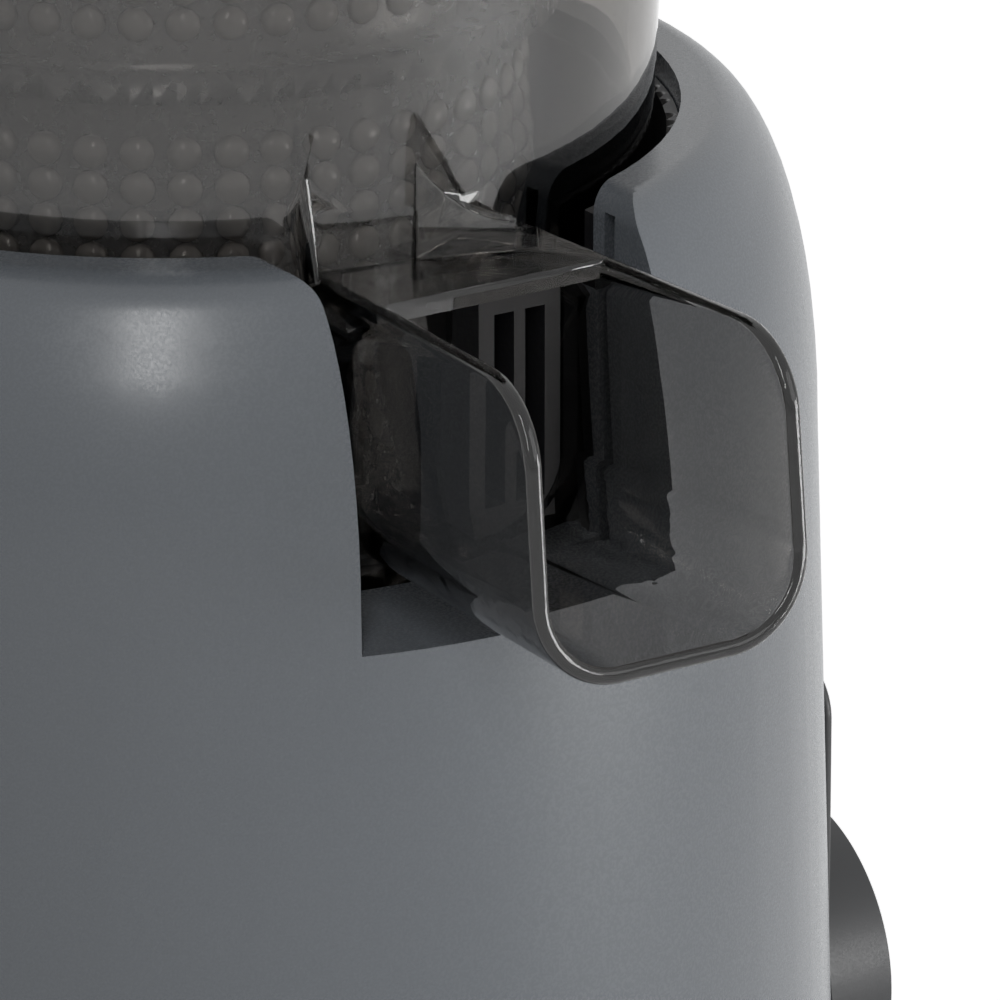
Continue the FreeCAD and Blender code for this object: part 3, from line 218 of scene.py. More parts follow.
@dataclass(frozen=True)
class Finish:
    """A finish, with its shader's plain numbers and the texture that its surface has.

    Blotches are broad, faint changes of shade, and the grain is what the mould or the tool left.
    """

    name: str
    colour: str
    roughness: float
    metallic: float = 0.0
    ior: float = 1.5
    grain_mm: float = 0.5
    grain_depth_mm: float = 0.01
    blotch_mm: float = 30.0
    blotch: float = 0.04
    roughness_spread: float = 0.05

    def start(self) -> Tuple[bpy.types.Material, bpy.types.NodeTree, bpy.types.NodeSocket]:
        """Make an empty material.

        Returns:
            The material, its tree and the object coordinates of its texture.
        """
        material, tree = empty_material(self.name)
        return material, tree, add_node(tree, "ShaderNodeTexCoord").outputs["Object"]

    def skin(self, tree: bpy.types.NodeTree, place: bpy.types.NodeSocket) -> Inputs:
        """Colour and roughness that vary a little, the bump of the grain, and what it is made of.

        Args:
            tree: the material's tree.
            place: the coordinates to read.

        Returns:
            Inputs for the shader.
        """
        broad = add_node(tree, "ShaderNodeTexNoise", {"Vector": place, "Scale": per_metre(self.blotch_mm),
                                                      "Detail": 3.0})
        base = linear(self.colour)
        darker = tuple(c * (1 - self.blotch) for c in base[:3]) + (1.0,)
        lighter = tuple(min(1.0, c * (1 + self.blotch)) for c in base[:3]) + (1.0,)
        tint = add_node(tree, "ShaderNodeMix", {MIX_FACTOR: broad.outputs["Fac"], MIX_FIRST: darker,
                                                MIX_SECOND: lighter}, data_type="RGBA")
        grain = add_node(tree, "ShaderNodeTexNoise", {"Vector": place, "Scale": per_metre(self.grain_mm),
                                                      "Detail": 2.0})
        rough = add_node(tree, "ShaderNodeMapRange",
                         {"Value": grain.outputs["Fac"], "From Min": NOISE_LOW, "From Max": NOISE_HIGH,
                          "To Min": max(0.0, self.roughness - self.roughness_spread),
                          "To Max": min(1.0, self.roughness + self.roughness_spread)})
        bump = add_node(tree, "ShaderNodeBump", {"Height": grain.outputs["Fac"], "Strength": 1.0,
                                                 "Distance": self.grain_depth_mm * MM})
        inputs: Inputs = {"Base Color": tint.outputs[MIX_RESULT], "Roughness": rough.outputs["Result"],
                          "Normal": bump.outputs["Normal"], "Metallic": self.metallic}
        if self.metallic < 0.5:
            inputs["IOR"] = self.ior
        return inputs

    def build(self) -> bpy.types.Material:
        """Make the material.

        Returns:
            The finished material.
        """
        material, tree, place = self.start()
        shader = add_node(tree, "ShaderNodeBsdfPrincipled", self.skin(tree, place))
        add_node(tree, "ShaderNodeOutputMaterial", {"Surface": shader.outputs["BSDF"]})
        return material


@dataclass(frozen=True)
class ClearPlastic(Finish):
    """Injection moulded clear plastic with a smoky tint through its depth."""

    depth_colour: str = "9E9B98"
    density: float = 330.0
    flow_mm: float = 45.0
    flow_depth_mm: float = 0.02
    haze_from: float = 0.45
    haze_to: float = 0.8
    shade: str = "F8F8F8"

    def build(self) -> bpy.types.Material:
        """Make the material: a glossy clear skin over a tinted depth.

        Returns:
            The finished material.
        """
        material, tree, place = self.start()
        flow = add_node(tree, "ShaderNodeTexNoise", {"Vector": place, "Scale": per_metre(self.flow_mm),
                                                     "Detail": 1.0})
        haze = add_node(tree, "ShaderNodeTexNoise", {"Vector": place, "Scale": per_metre(self.grain_mm),
                                                     "Detail": 2.0})
        rough = add_node(tree, "ShaderNodeMapRange",
                         {"Value": haze.outputs["Fac"], "From Min": self.haze_from,
                          "From Max": self.haze_to, "To Min": self.roughness,
                          "To Max": self.roughness + self.roughness_spread})
        bump = add_node(tree, "ShaderNodeBump", {"Height": flow.outputs["Fac"], "Strength": 1.0,
                                                 "Distance": self.flow_depth_mm * MM})
        shader = add_node(tree, "ShaderNodeBsdfPrincipled",
                          {"Base Color": linear(self.colour), "Roughness": rough.outputs["Result"],
                           "Normal": bump.outputs["Normal"], "IOR": self.ior,
                           "Transmission Weight": 1.0})
        depth = add_node(tree, "ShaderNodeVolumeAbsorption",
                         {"Color": linear(self.depth_colour), "Density": self.density})
        surface = let_lamps_through(tree, shader.outputs["BSDF"], self.shade)
        add_node(tree, "ShaderNodeOutputMaterial", {"Surface": surface, "Volume": depth.outputs["Volume"]})
        return material


@dataclass(frozen=True)
class HazyPlastic(Finish):
    """Moulded plastic that scatters part of the light and lets the rest through."""

    through: float = 0.5
    shade: str = "A0A0A0"

    def build(self) -> bpy.types.Material:
        """Make the material: a mottled skin that is partly see-through.

        Returns:
            The finished material.
        """
        material, tree, place = self.start()
        inputs = self.skin(tree, place)
        inputs["Transmission Weight"] = self.through
        shader = add_node(tree, "ShaderNodeBsdfPrincipled", inputs)
        surface = let_lamps_through(tree, shader.outputs["BSDF"], self.shade)
        add_node(tree, "ShaderNodeOutputMaterial", {"Surface": surface})
        return material


@dataclass(frozen=True)
class TurnedMetal(Finish):
    """Metal with the fine rings that a lathe leaves around Z."""

    metallic: float = 1.0
    ring_mm: float = 0.25
    ring_depth_mm: float = 0.004
    ring_stretch: float = 50.0

    def skin(self, tree: bpy.types.NodeTree, place: bpy.types.NodeSocket) -> Inputs:
        """Lay rings across Z over the grain.

        Args:
            tree: the material's tree.
            place: the coordinates to read.

        Returns:
            Inputs for the shader.
        """
        inputs = super().skin(tree, place)
        squeezed = 1.0 / self.ring_stretch
        stretch = add_node(tree, "ShaderNodeMapping", {"Vector": place, "Scale": (squeezed, squeezed, 1.0)})
        rings = add_node(tree, "ShaderNodeTexNoise", {"Vector": stretch.outputs["Vector"],
                                                      "Scale": per_metre(self.ring_mm), "Detail": 2.0})
        bump = add_node(tree, "ShaderNodeBump", {"Height": rings.outputs["Fac"],
                                                 "Distance": self.ring_depth_mm * MM,
                                                 "Normal": inputs["Normal"]})
        inputs["Normal"] = bump.outputs["Normal"]
        return inputs


@dataclass(frozen=True)
class Layered(Finish):
    """Stacked sheets or wound wire, with dark, sunk lines across Z.

    The real lines are too fine to show, so they are drawn about six times as far apart.
    """

    layer_mm: float = 0.5
    line_colour: str = "202020"
    line_depth: float = 0.3
    coarser: float = 2 * math.pi

    def skin(self, tree: bpy.types.NodeTree, place: bpy.types.NodeSocket) -> Inputs:
        """Draw the lines over the mottled metal.

        Args:
            tree: the material's tree.
            place: the coordinates to read.

        Returns:
            Inputs for the shader.
        """
        inputs = super().skin(tree, place)
        drawn = self.layer_mm * self.coarser * MM
        wave = add_node(tree, "ShaderNodeTexWave", {"Vector": place, "Distortion": 0.0,
                                                    "Scale": 2 * math.pi / (WAVE_RADIANS * drawn)},
                        wave_type="BANDS", bands_direction="Z")
        tint = add_node(tree, "ShaderNodeMix",
                        {MIX_FACTOR: wave.outputs["Fac"], MIX_FIRST: linear(self.line_colour),
                         MIX_SECOND: inputs["Base Color"]}, data_type="RGBA")
        bump = add_node(tree, "ShaderNodeBump", {"Height": wave.outputs["Fac"],
                                                 "Distance": self.layer_mm * self.line_depth * MM,
                                                 "Normal": inputs["Normal"]})
        inputs["Base Color"] = tint.outputs[MIX_RESULT]
        inputs["Normal"] = bump.outputs["Normal"]
        return inputs


def finishes() -> List[Finish]:
    """Every finish of the juicer, named as the record's slots are.

    Returns:
        The finishes.
    """
    return [
        # ABS from a spark-eroded mould: matte blue-grey, with a grain that is just felt.
        Finish("housing_abs", "6A6F75", 0.27, ior=1.54, grain_mm=0.45, grain_depth_mm=0.006,
               blotch_mm=60.0, blotch=0.015),
        # ABS from a finely blasted mould: near black, with a dull sheen along its edges.
        Finish("trim_abs", "2E2F31", 0.42, grain_mm=0.4, grain_depth_mm=0.01, blotch=0.02),
        # ABS, moulded in black: so dark that the well reads as a shadow.
        Finish("black_abs", "101012", 0.45, grain_mm=0.5, grain_depth_mm=0.01),
        # ABS from a coarse mould, as undersides have: dull and dark grey.
        Finish("base_abs", "2B2C2F", 0.55, grain_mm=0.6, grain_depth_mm=0.02),
        # Copolyester from a polished mould: glossy, smoky through its depth, with faint flow marks.
        ClearPlastic(Copolyester.CLEAR.value, "F2F0EE", 0.015, ior=1.54, grain_mm=3.0,
                     roughness_spread=0.03),
        # Silicone rubber, moulded: satin, with a soft bloom that dulls its highlights.
        Finish("black_silicone", "141416", 0.5, ior=1.41, grain_mm=0.8, blotch=0.08),
        Finish("grey_silicone", "8A8B8E", 0.5, ior=1.41, grain_mm=0.8, blotch=0.05),
        # Rubber, moulded: black and dry, without a highlight.
        Finish("foot_rubber", "1C1C1D", 0.75, grain_mm=0.7, grain_depth_mm=0.02, blotch=0.1),
        # Polyetherimide, moulded: dark and satin, so that its flights catch broad highlights.
        Finish("auger_resin", "4B4C4F", 0.38, ior=1.6, grain_mm=0.6, blotch=0.06),
        # Copolyester from a blasted mould: hazy, so that it glows where light falls on it.
        HazyPlastic(Copolyester.HAZY.value, "8A8B8D", 0.25, ior=1.54, grain_mm=2.0, grain_depth_mm=0.004,
                    blotch=0.03, through=0.6),
        # The same plastic, polished on the dimples: glossier and less clear than the wall around them.
        HazyPlastic(Copolyester.DIMPLE.value, "8E8C8A", 0.08, ior=1.54, grain_mm=2.0,
                    grain_depth_mm=0.004, blotch=0.03, through=0.45),
        # Stainless steel, turned: bright, with rings that draw its highlights out.
        TurnedMetal("stainless_steel", "C9C8C6", 0.24),
        # Steel with bright zinc plating: greyer, with patches that differ a little in shade.
        TurnedMetal("zinc_steel", "B8BBB8", 0.34, blotch=0.08),
        # Silicon steel sheets 0.5 mm thick, punched and stacked: grey, with dark lines.
        Layered("lamination_steel", "8A8A8C", 0.45, metallic=1.0, layer_mm=0.5, line_colour="2A2A2B"),
        # Enamelled copper wire 0.6 mm thick, wound in layers: warm, with brown gaps.
        Layered("copper_wire", "B0602F", 0.3, metallic=0.9, layer_mm=0.6, line_colour="4A2410"),
        # Bronze, sintered: a brown metal whose fine pores break up its shine.
        Finish("bronze", "9C7A45", 0.45, metallic=1.0, grain_mm=0.15, grain_depth_mm=0.01),
        # Brass, turned: yellow and fairly bright, with fine rings.
        TurnedMetal("brass", "C9A55A", 0.28),
        # Carbon, pressed: near black, with a dry face.
        Finish("carbon", "1B1B1C", 0.6, grain_mm=0.2, blotch=0.1),
        # Nylon, moulded in its own colour: milky and waxy.
        Finish("gear_nylon", "DDDACE", 0.42, ior=1.53, grain_mm=0.5, blotch=0.03),
        # Nylon filled with glass, moulded: dark, with a dull and slightly uneven skin.
        Finish("gearbox_nylon", "2D2D30", 0.55, ior=1.53, grain_mm=0.4, blotch=0.08),
        # Aluminium, die cast: a grey, pebbled metal without sharp highlights.
        Finish("cast_aluminium", "A9ABAD", 0.5, metallic=1.0, grain_mm=0.7, grain_depth_mm=0.03,
               blotch=0.08),
        # Glass-fibre board under lacquer: green and glossy.
        Finish("circuit_board", "1F5A34", 0.35, grain_mm=1.2, blotch=0.1),
        # ABS, moulded in white: a clean line that shows which way the knob points.
        Finish("pointer_white", "E6E6E3", 0.4, grain_mm=0.4, blotch=0.02),
    ]


@dataclass
class Frame:
    """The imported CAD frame, its bodies and its finishes, and how a smooth skin is made."""

    loaded: Dict
    merge_mm: float = 0.001
    flat_degrees: float = 0.2
    round_segments: int = 3
    level_weight: int = 100
    materials: Dict[str, bpy.types.Material] = field(default_factory=dict)
    body_of: Dict[str, str] = field(default_factory=dict)
    slot_of: Dict[str, str] = field(default_factory=dict)

    def __post_init__(self) -> None:
        """Read which body and which slot each node has, and make the materials."""
        record = self.loaded["record"]
        for body, members in record["behaviour"]["bodies"].items():
            for node in members:
                self.body_of[node] = body
        for row in record["subparts"]:
            self.slot_of[row["node"]] = row["material_slot"]
        for finish in finishes():
            self.materials[finish.name] = finish.build()

    def paint(self, piece: bpy.types.Object, finish: str) -> None:
        """Give a piece one of the materials.

        Args:
            piece: the object.
            finish: the finish's name.
        """
        piece.data.materials.clear()
        piece.data.materials.append(self.materials[finish])

    def dress(self, nodes: Sequence[str]) -> None:
        """Give CAD nodes the material of their slot.

        Args:
            nodes: names of CAD nodes that stay as they are.
        """
        for name in nodes:
            self.paint(self.loaded["nodes"][name], self.slot_of[name])
            log.info("dressed %s", name)

    def place(self, piece: bpy.types.Object, body: str, slot: str, replaced: Sequence[str] = (),
              look: Optional[Copolyester] = None) -> None:
        """Finish a new piece: its material, its body and the nodes that it stands for.

        Args:
            piece: the new object, at the origin.
            body: the CAD body that it rides on.
            slot: its finish's slot name.
            replaced: CAD nodes that it stands for.
            look: another skin than the slot's own.
        """
        self.paint(piece, look.value if look else slot)
        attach(piece, body)
        if replaced:
            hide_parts(*replaced)
        log.info("made %s on %s", piece.name, body)

    def merged(self, node: str, angle: float, tidy_flats: bool) -> bpy.types.Mesh:
        """Copy a CAD node's loose triangles as one smoothly shaded mesh.

        Args:
            node: the CAD node.
            angle: edges sharper than this many degrees stay sharp.
            tidy_flats: whether flat triangles are joined, so that a round can follow their edge.

        Returns:
            The mesh.
        """
        mesh = self.loaded["nodes"][node].data.copy()
        mesh.name = node + "_skin"
        shape = bmesh.new()
        shape.from_mesh(mesh)
        bmesh.ops.remove_doubles(shape, verts=shape.verts, dist=self.merge_mm * MM)
        if tidy_flats:
            bmesh.ops.dissolve_limit(shape, angle_limit=math.radians(self.flat_degrees),
                                     verts=shape.verts, edges=shape.edges)
        shape.to_mesh(mesh)
        shape.free()
        for polygon in mesh.polygons:
            polygon.use_smooth = True
        mesh.set_sharp_from_angle(angle=math.radians(angle))
        return mesh

    def smooth(self, node: str, angle: float = 28.0, look: Optional[Copolyester] = None,
               edge_mm: float = 0.0) -> None:
        """Stand a merged, smoothly shaded copy in for a CAD node.

        Args:
            node: the CAD node.
            angle: edges sharper than this many degrees stay sharp, or are rounded.
            look: another skin than the slot's own.
            edge_mm: width of the round that its sharp edges get.
        """
        piece = add_object(node + "_skin", self.merged(node, angle, bool(edge_mm)))
        if edge_mm:
            rounds = piece.modifiers.new("rounds", "BEVEL")
            rounds.width = edge_mm * MM
            rounds.segments = self.round_segments
            rounds.limit_method = "ANGLE"
            rounds.angle_limit = math.radians(angle)
            rounds.use_clamp_overlap = True
        level = piece.modifiers.new("level", "WEIGHTED_NORMAL")
        level.mode = "FACE_AREA"
        level.weight = self.level_weight
        level.keep_sharp = not edge_mm
        self.place(piece, self.body_of[node], self.slot_of[node], [node], look)


@dataclass(frozen=True)
class Lamp:
    """A soft box that faces the juicer: its place in degrees and metres, its size and its watts."""

    name: str
    azimuth: float
    elevation: float
    distance: float
    width: float
    height: float
    power: float

    def hang(self, aim: Vector) -> None:
        """Add the lamp to the scene.

        Args:
            aim: the point that it faces.
        """
        data = bpy.data.lights.new(self.name, "AREA")
        data.shape = "RECTANGLE"
        data.size = self.width
        data.size_y = self.height
        data.energy = self.power
        lamp = add_object(self.name, data)
        lamp.visible_camera = False
        away = direction(self.azimuth, self.elevation)
        lamp.location = aim + away * self.distance
        lamp.rotation_mode = "QUATERNION"
        lamp.rotation_quaternion = away.to_track_quat("Z", "Y")


@dataclass
class Studio:
    """Camera, lamps, world and floor."""

    azimuth: float = -33.32
    elevation: float = 20.06
    distance_mm: float = 1500.0
    focal_px: float = 10747.0
    image_px: float = 1000.0
    aim_right_mm: float = 45.43
    aim_up_mm: float = -56.49
    aim_height_mm: float = 236.0
    sensor_mm: float = 36.0
    clip_near_m: float = 0.05
    clip_far_m: float = 50.0
    lamp_aim_m: float = 0.2
    lamps: Tuple[Lamp, ...] = (
        Lamp("key", 30.0, 20.0, 1.5, 0.8, 0.8, 2.5),
        Lamp("low", 42.0, -4.0, 0.9, 0.35, 0.28, 2.6),
        Lamp("strip", -36.0, 35.0, 1.5, 0.22, 1.0, 6.8),
        Lamp("back", 178.0, 22.0, 1.7, 1.0, 1.2, 6.0),
    )
    white: str = "FFFFFF"
    soft_strength: float = 0.10
    shown_strength: float = 1.0
    floor_size_mm: float = 9000.0
    floor_lit: str = "B0B0B0"
    floor_shown: str = "F4F4F4"
    floor_glow: float = 0.75

    def add_camera(self) -> None:
        """Stand the camera where the photograph was taken from."""
        back = direction(self.azimuth, self.elevation)
        turn = math.radians(self.azimuth)
        right = Vector((math.cos(turn), math.sin(turn), 0.0))
        up = back.cross(right)
        data = bpy.data.cameras.new("camera")
        data.sensor_width = self.sensor_mm
        data.lens = self.focal_px / self.image_px * self.sensor_mm
        data.clip_start = self.clip_near_m
        data.clip_end = self.clip_far_m
        camera = add_object("camera", data)
        spot = right * self.aim_right_mm + up * self.aim_up_mm + back * self.distance_mm
        spot.z += self.aim_height_mm
        facing = Matrix((right, up, back)).transposed()
        camera.matrix_world = Matrix.Translation(spot * MM) @ facing.to_4x4()
        bpy.context.scene.camera = camera

    def add_world(self) -> None:
        """Pale surroundings that light softly and show white."""
        world = bpy.data.worlds.new("studio")
        bpy.context.scene.world = world
        world.use_nodes = True
        tree = world.node_tree
        tree.nodes.clear()
        shown = backdrop_rays(tree)
        soft = add_node(tree, "ShaderNodeBackground", {"Color": linear(self.white),
                                                       "Strength": self.soft_strength})
        white = add_node(tree, "ShaderNodeBackground", {"Color": linear(self.white),
                                                        "Strength": self.shown_strength})
        mix = add_node(tree, "ShaderNodeMixShader", {0: shown, 1: soft.outputs[0], 2: white.outputs[0]})
        add_node(tree, "ShaderNodeOutputWorld", {"Surface": mix.outputs[0]})

    def add_floor(self) -> None:
        """Plain white table top that keeps the juicer's shadow."""
        half = self.floor_size_mm / 2 * MM
        mesh = bpy.data.meshes.new("floor")
        mesh.from_pydata([(-half, -half, 0), (half, -half, 0), (half, half, 0), (-half, half, 0)], [],
                         [(0, 1, 2, 3)])
        floor = add_object("floor", mesh)
        material, tree = empty_material("floor_white")
        shown = backdrop_rays(tree)
        card = add_node(tree, "ShaderNodeMix",
                        {MIX_FACTOR: shown, MIX_FIRST: linear(self.floor_lit),
                         MIX_SECOND: linear(self.floor_shown)}, data_type="RGBA")
        board = add_node(tree, "ShaderNodeBsdfDiffuse", {"Color": card.outputs[MIX_RESULT]})
        glow = add_node(tree, "ShaderNodeEmission", {"Color": linear(self.white),
                                                     "Strength": self.floor_glow})
        lifted = add_node(tree, "ShaderNodeAddShader", {0: board.outputs[0], 1: glow.outputs[0]})
        mix = add_node(tree, "ShaderNodeMixShader", {0: shown, 1: board.outputs[0], 2: lifted.outputs[0]})
        add_node(tree, "ShaderNodeOutputMaterial", {"Surface": mix.outputs[0]})
        mesh.materials.append(material)

    def build(self) -> None:
        """Set up the whole studio."""
        self.add_camera()
        self.add_world()
        self.add_floor()
        for lamp in self.lamps:
            lamp.hang(Vector((0.0, 0.0, self.lamp_aim_m)))
        bpy.context.scene.view_settings.view_transform = "Standard"


@dataclass
class MotorBase:
    """Housing with its liner, base plate, cord gland and feet."""

    frame: Frame
    edge_mm: float = 1.0

    def build(self) -> None:
        """Dress the base, with the housing's edges rounded."""
        self.frame.smooth("housing_shell", edge_mm=self.edge_mm)
        for node in ("seat_liner", "cord_gland"):
            self.frame.smooth(node)
        self.frame.dress(["base_plate", "base_screws", "foot_1", "foot_2", "foot_3", "foot_4"])


@dataclass
class Controls:
    """Knob with its plate, pointer and switch."""

    frame: Frame
    edge_mm: float = 0.6

    def build(self) -> None:
        """Dress the controls, with rounded edges on the plate and the knob."""
        for node in ("control_plate", "knob"):
            self.frame.smooth(node, edge_mm=self.edge_mm)
        self.frame.dress(["knob_pointer", "rotary_switch", "switch_shaft", "control_board", "safety_switch"])


@dataclass
class Drive:
    """Motor, gears and output shaft inside the base."""

    frame: Frame

    def build(self) -> None:
        """Dress the drive."""
        self.frame.dress([
            "gearbox_case", "gearbox_lid", "gearbox_screws", "countershaft_pin", "double_gear",
            "output_gear", "output_shaft", "output_bush", "shaft_seal", "motor_bracket_upper",
            "motor_bracket_lower", "motor_bearings", "motor_tie_bolts", "stator_core", "field_coils",
            "armature_shaft", "armature_core", "armature_windings", "commutator", "cooling_fan",
            "carbon_brushes", "brush_holders"])


@dataclass
class Bowl:
    """Clear bowl with its chute and spout, its seals and its flap."""

    frame: Frame
    web_start_mm: Tuple[float, float] = (-3.5, -67.4)
    web_end_mm: Tuple[float, float] = (10.0, -71.6)
    web_foot_mm: float = 231.2
    web_height_mm: float = 14.2
    web_end_height_mm: float = 4.6
    web_sag_mm: float = 2.4
    web_thickness_mm: float = 1.7
    web_steps: int = 16
    web_edge_mm: float = 0.3
    web_edge_segments: int = 2

    def web_outline(self) -> List[Tuple[Vector, float]]:
        """Outline of the web's front face.

        Returns:
            Its points, each with its place on the chute's roof and its height above it.
        """
        start, end = Vector(self.web_start_mm), Vector(self.web_end_mm)
        outline = [(start, 0.0)]
        for step in range(self.web_steps + 1):
            share = step / self.web_steps
            line = self.web_height_mm + (self.web_end_height_mm - self.web_height_mm) * share
            sag = 4 * self.web_sag_mm * share * (1 - share)
            outline.append((start.lerp(end, share), line - sag))
        outline.append((end, 0.0))
        return outline

    def web(self) -> None:
        """Make the curved web between the bowl's wall and the corner of the chute's roof."""
        outline = self.web_outline()
        start, end = outline[0][0], outline[-1][0]
        across = Vector((start.y - end.y, end.x - start.x)).normalized() * self.web_thickness_mm
        shape = bmesh.new()
        front = [shape.verts.new(Vector((at.x, at.y, self.web_foot_mm + rise)) * MM) for at, rise in outline]
        rear = [shape.verts.new(vert.co + Vector((across.x, across.y, 0.0)) * MM) for vert in front]
        shape.faces.new(front)
        shape.faces.new(list(reversed(rear)))
        for one in range(len(front)):
            two = (one + 1) % len(front)
            shape.faces.new((front[one], rear[one], rear[two], front[two]))
        bmesh.ops.recalc_face_normals(shape, faces=shape.faces)
        mesh = bpy.data.meshes.new("chute_web")
        shape.to_mesh(mesh)
        shape.free()
        piece = add_object("chute_web", mesh)
        rounds = piece.modifiers.new("rounds", "BEVEL")
        rounds.width = self.web_edge_mm * MM
        rounds.segments = self.web_edge_segments
        self.frame.place(piece, "bowl", Copolyester.CLEAR.value)

    def build(self) -> None:
        """Dress the bowl and what is fixed on it."""
        self.web()
        for node in ("bowl", "bowl_base", "spout_nozzle", "spout_cap"):
            self.frame.smooth(node)
        self.frame.dress(["bowl_seal", "pulp_outlet", "spout_seal", "hinge_pin"])


@dataclass
class Strainer:
    """Strainer basket with rings of round dimples."""

    frame: Frame
    radius_mm: float = 48.5
    dimple_radius_mm: float = 2.6
    dimple_height_mm: float = 1.5
    dimple_sunk_mm: float = 0.15
    dimple_sides: int = 12
    dimple_rings: int = 3
    per_turn: int = 48
    row_pitch_mm: float = 5.1
    lower_first_mm: float = 203.0
    lower_rows: int = 9
    upper_first_mm: float = 262.0
    upper_rows: int = 12

    def dome(self) -> bpy.types.Object:
        """One dimple as a low dome, to be repeated.

        Returns:
            The dome, which isn't part of the scene.
        """
        around, rings = self.dimple_sides, self.dimple_rings
        points = []
        for ring in range(rings):
            share = ring / rings * math.pi / 2
            radius = self.dimple_radius_mm * math.cos(share) * MM
            rise = self.dimple_height_mm * math.sin(share) * MM
            for step in range(around):
                turn = 2 * math.pi * step / around
                points.append((rise, radius * math.cos(turn), radius * math.sin(turn)))
        points.append((self.dimple_height_mm * MM, 0.0, 0.0))
        sides = []
        for ring in range(rings - 1):
            low, high = ring * around, (ring + 1) * around
            for step in range(around):
                after = (step + 1) % around
                sides.append((low + step, low + after, high + after, high + step))
        last = (rings - 1) * around
        for step in range(around):
            sides.append((last + step, last + (step + 1) % around, len(points) - 1))
        sides.append(tuple(reversed(range(around))))
        mesh = bpy.data.meshes.new("dimple")
        mesh.from_pydata(points, [], sides)
        for polygon in mesh.polygons:
            polygon.use_smooth = True
        return bpy.data.objects.new("dimple", mesh)

    def tree(self) -> bpy.types.NodeTree:
        """Node tree that sets dimples in rings on a drum.

        Returns:
            The tree, with inputs for its sizes.
        """
        tree = bpy.data.node_groups.new("dimple_rings", "GeometryNodeTree")
        face = tree.interface
        for name, kind in (("Dimple", "NodeSocketObject"), ("Radius", "NodeSocketFloat"),
                           ("First Height", "NodeSocketFloat"), ("Row Pitch", "NodeSocketFloat"),
                           ("Rows", "NodeSocketInt"), ("Per Turn", "NodeSocketInt"),
                           ("Material", "NodeSocketMaterial")):
            face.new_socket(name, in_out="INPUT", socket_type=kind)
        face.new_socket("Geometry", in_out="OUTPUT", socket_type="NodeSocketGeometry")
        given = add_node(tree, "NodeGroupInput").outputs
        count = add_node(tree, "ShaderNodeMath", {0: given["Rows"], 1: given["Per Turn"]},
                         operation="MULTIPLY")
        points = add_node(tree, "GeometryNodePoints", {"Count": count.outputs[0]})
        # A point's number gives its row and its turn around the drum.
        index = add_node(tree, "GeometryNodeInputIndex")
        share = add_node(tree, "ShaderNodeMath", {0: index.outputs[0], 1: given["Per Turn"]},
                         operation="DIVIDE")
        row = add_node(tree, "ShaderNodeMath", {0: share.outputs[0]}, operation="FLOOR")
        step = add_node(tree, "ShaderNodeMath", {0: 2 * math.pi, 1: given["Per Turn"]}, operation="DIVIDE")
        turn = add_node(tree, "ShaderNodeMath", {0: index.outputs[0], 1: step.outputs[0]},
                        operation="MULTIPLY")
        cos = add_node(tree, "ShaderNodeMath", {0: turn.outputs[0]}, operation="COSINE")
        sin = add_node(tree, "ShaderNodeMath", {0: turn.outputs[0]}, operation="SINE")
        x = add_node(tree, "ShaderNodeMath", {0: cos.outputs[0], 1: given["Radius"]}, operation="MULTIPLY")
        y = add_node(tree, "ShaderNodeMath", {0: sin.outputs[0], 1: given["Radius"]}, operation="MULTIPLY")
        z = add_node(tree, "ShaderNodeMath", {0: row.outputs[0], 1: given["Row Pitch"],
                                              2: given["First Height"]}, operation="MULTIPLY_ADD")
        spot = add_node(tree, "ShaderNodeCombineXYZ", {0: x.outputs[0], 1: y.outputs[0], 2: z.outputs[0]})
        placed = add_node(tree, "GeometryNodeSetPosition", {"Geometry": points.outputs[0],
                                                            "Position": spot.outputs[0]})
        dimple = add_node(tree, "GeometryNodeObjectInfo", {"Object": given["Dimple"]})
        outwards = add_node(tree, "ShaderNodeCombineXYZ", {2: turn.outputs[0]})
        stood = add_node(tree, "GeometryNodeInstanceOnPoints",
                         {"Points": placed.outputs[0], "Instance": dimple.outputs["Geometry"],
                          "Rotation": outwards.outputs[0]})
        real = add_node(tree, "GeometryNodeRealizeInstances", {0: stood.outputs[0]})
        painted = add_node(tree, "GeometryNodeSetMaterial", {"Geometry": real.outputs[0],
                                                             "Material": given["Material"]})
        add_node(tree, "NodeGroupOutput", {0: painted.outputs[0]})
        return tree

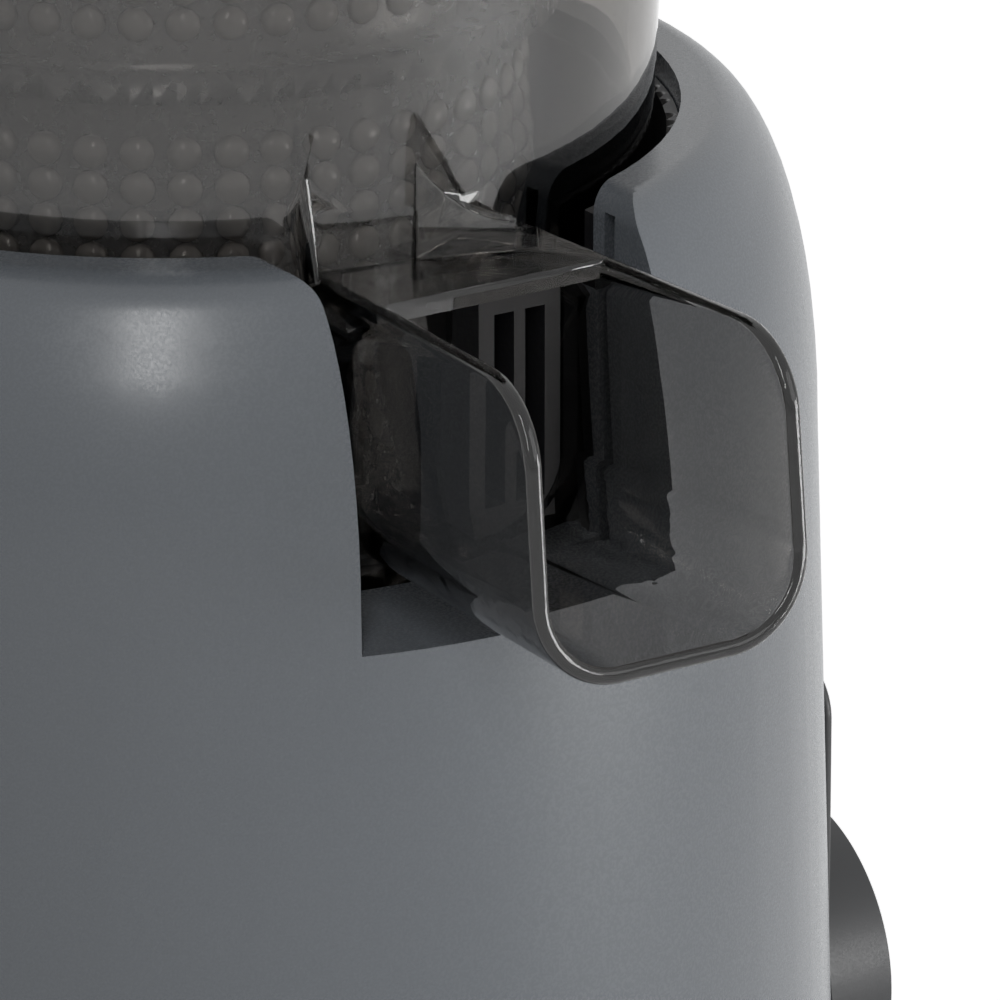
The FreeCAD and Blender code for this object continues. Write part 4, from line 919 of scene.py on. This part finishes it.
    def add_band(self, name: str, tree: bpy.types.NodeTree, dome: bpy.types.Object, first_mm: float,
                 rows: int) -> None:
        """Make one band of dimple rings.

        Args:
            name: the piece's name.
            tree: the dimple tree.
            dome: the dimple.
            first_mm: height of the lowest row.
            rows: number of rows.
        """
        look = Copolyester.DIMPLE
        holder = add_object(name, bpy.data.meshes.new(name))
        modifier = holder.modifiers.new("rings", "NODES")
        modifier.node_group = tree
        values = {"Dimple": dome, "Radius": (self.radius_mm - self.dimple_sunk_mm) * MM,
                  "First Height": first_mm * MM, "Row Pitch": self.row_pitch_mm * MM, "Rows": rows,
                  "Per Turn": self.per_turn, "Material": self.frame.materials[look.value]}
        for item in tree.interface.items_tree:
            if item.in_out == "INPUT":
                modifier[item.identifier] = values[item.name]
        graph = bpy.context.evaluated_depsgraph_get()
        mesh = bpy.data.meshes.new_from_object(holder.evaluated_get(graph))
        bpy.data.objects.remove(holder)
        self.frame.place(add_object(name, mesh), "bowl", Copolyester.CLEAR.value, look=look)

    def build(self) -> None:
        """Make the basket's skin and both bands of dimples."""
        self.frame.smooth("strainer", look=Copolyester.HAZY)
        tree = self.tree()
        dome = self.dome()
        self.add_band("strainer_dimples_lower", tree, dome, self.lower_first_mm, self.lower_rows)
        self.add_band("strainer_dimples_upper", tree, dome, self.upper_first_mm, self.upper_rows)


@dataclass
class Press:
    """Auger and its socket."""

    frame: Frame
    flight_angle: float = 40.0

    def build(self) -> None:
        """Dress the auger, with its flights' edges sharp."""
        self.frame.smooth("auger", self.flight_angle)
        self.frame.dress(["auger_sleeve"])


@dataclass
class Top:
    """Lid, tray and pusher."""

    frame: Frame

    def build(self) -> None:
        """Dress the lid and the pusher."""
        for node in ("lid", "feed_tray", "pusher", "pusher_cap"):
            self.frame.smooth(node)
        self.frame.dress(["lid_bush", "lid_seal"])


def main() -> None:
    """Build every sub-assembly in order."""
    logging.basicConfig(level=logging.INFO, format="%(name)s: %(message)s")
    frame = Frame(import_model())
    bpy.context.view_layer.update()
    Studio().build()
    for part in (MotorBase(frame), Controls(frame), Drive(frame), Bowl(frame), Strainer(frame),
                 Press(frame), Top(frame)):
        part.build()
        log.info("finished %s", type(part).__name__)


if __name__ == "__main__":
    main()
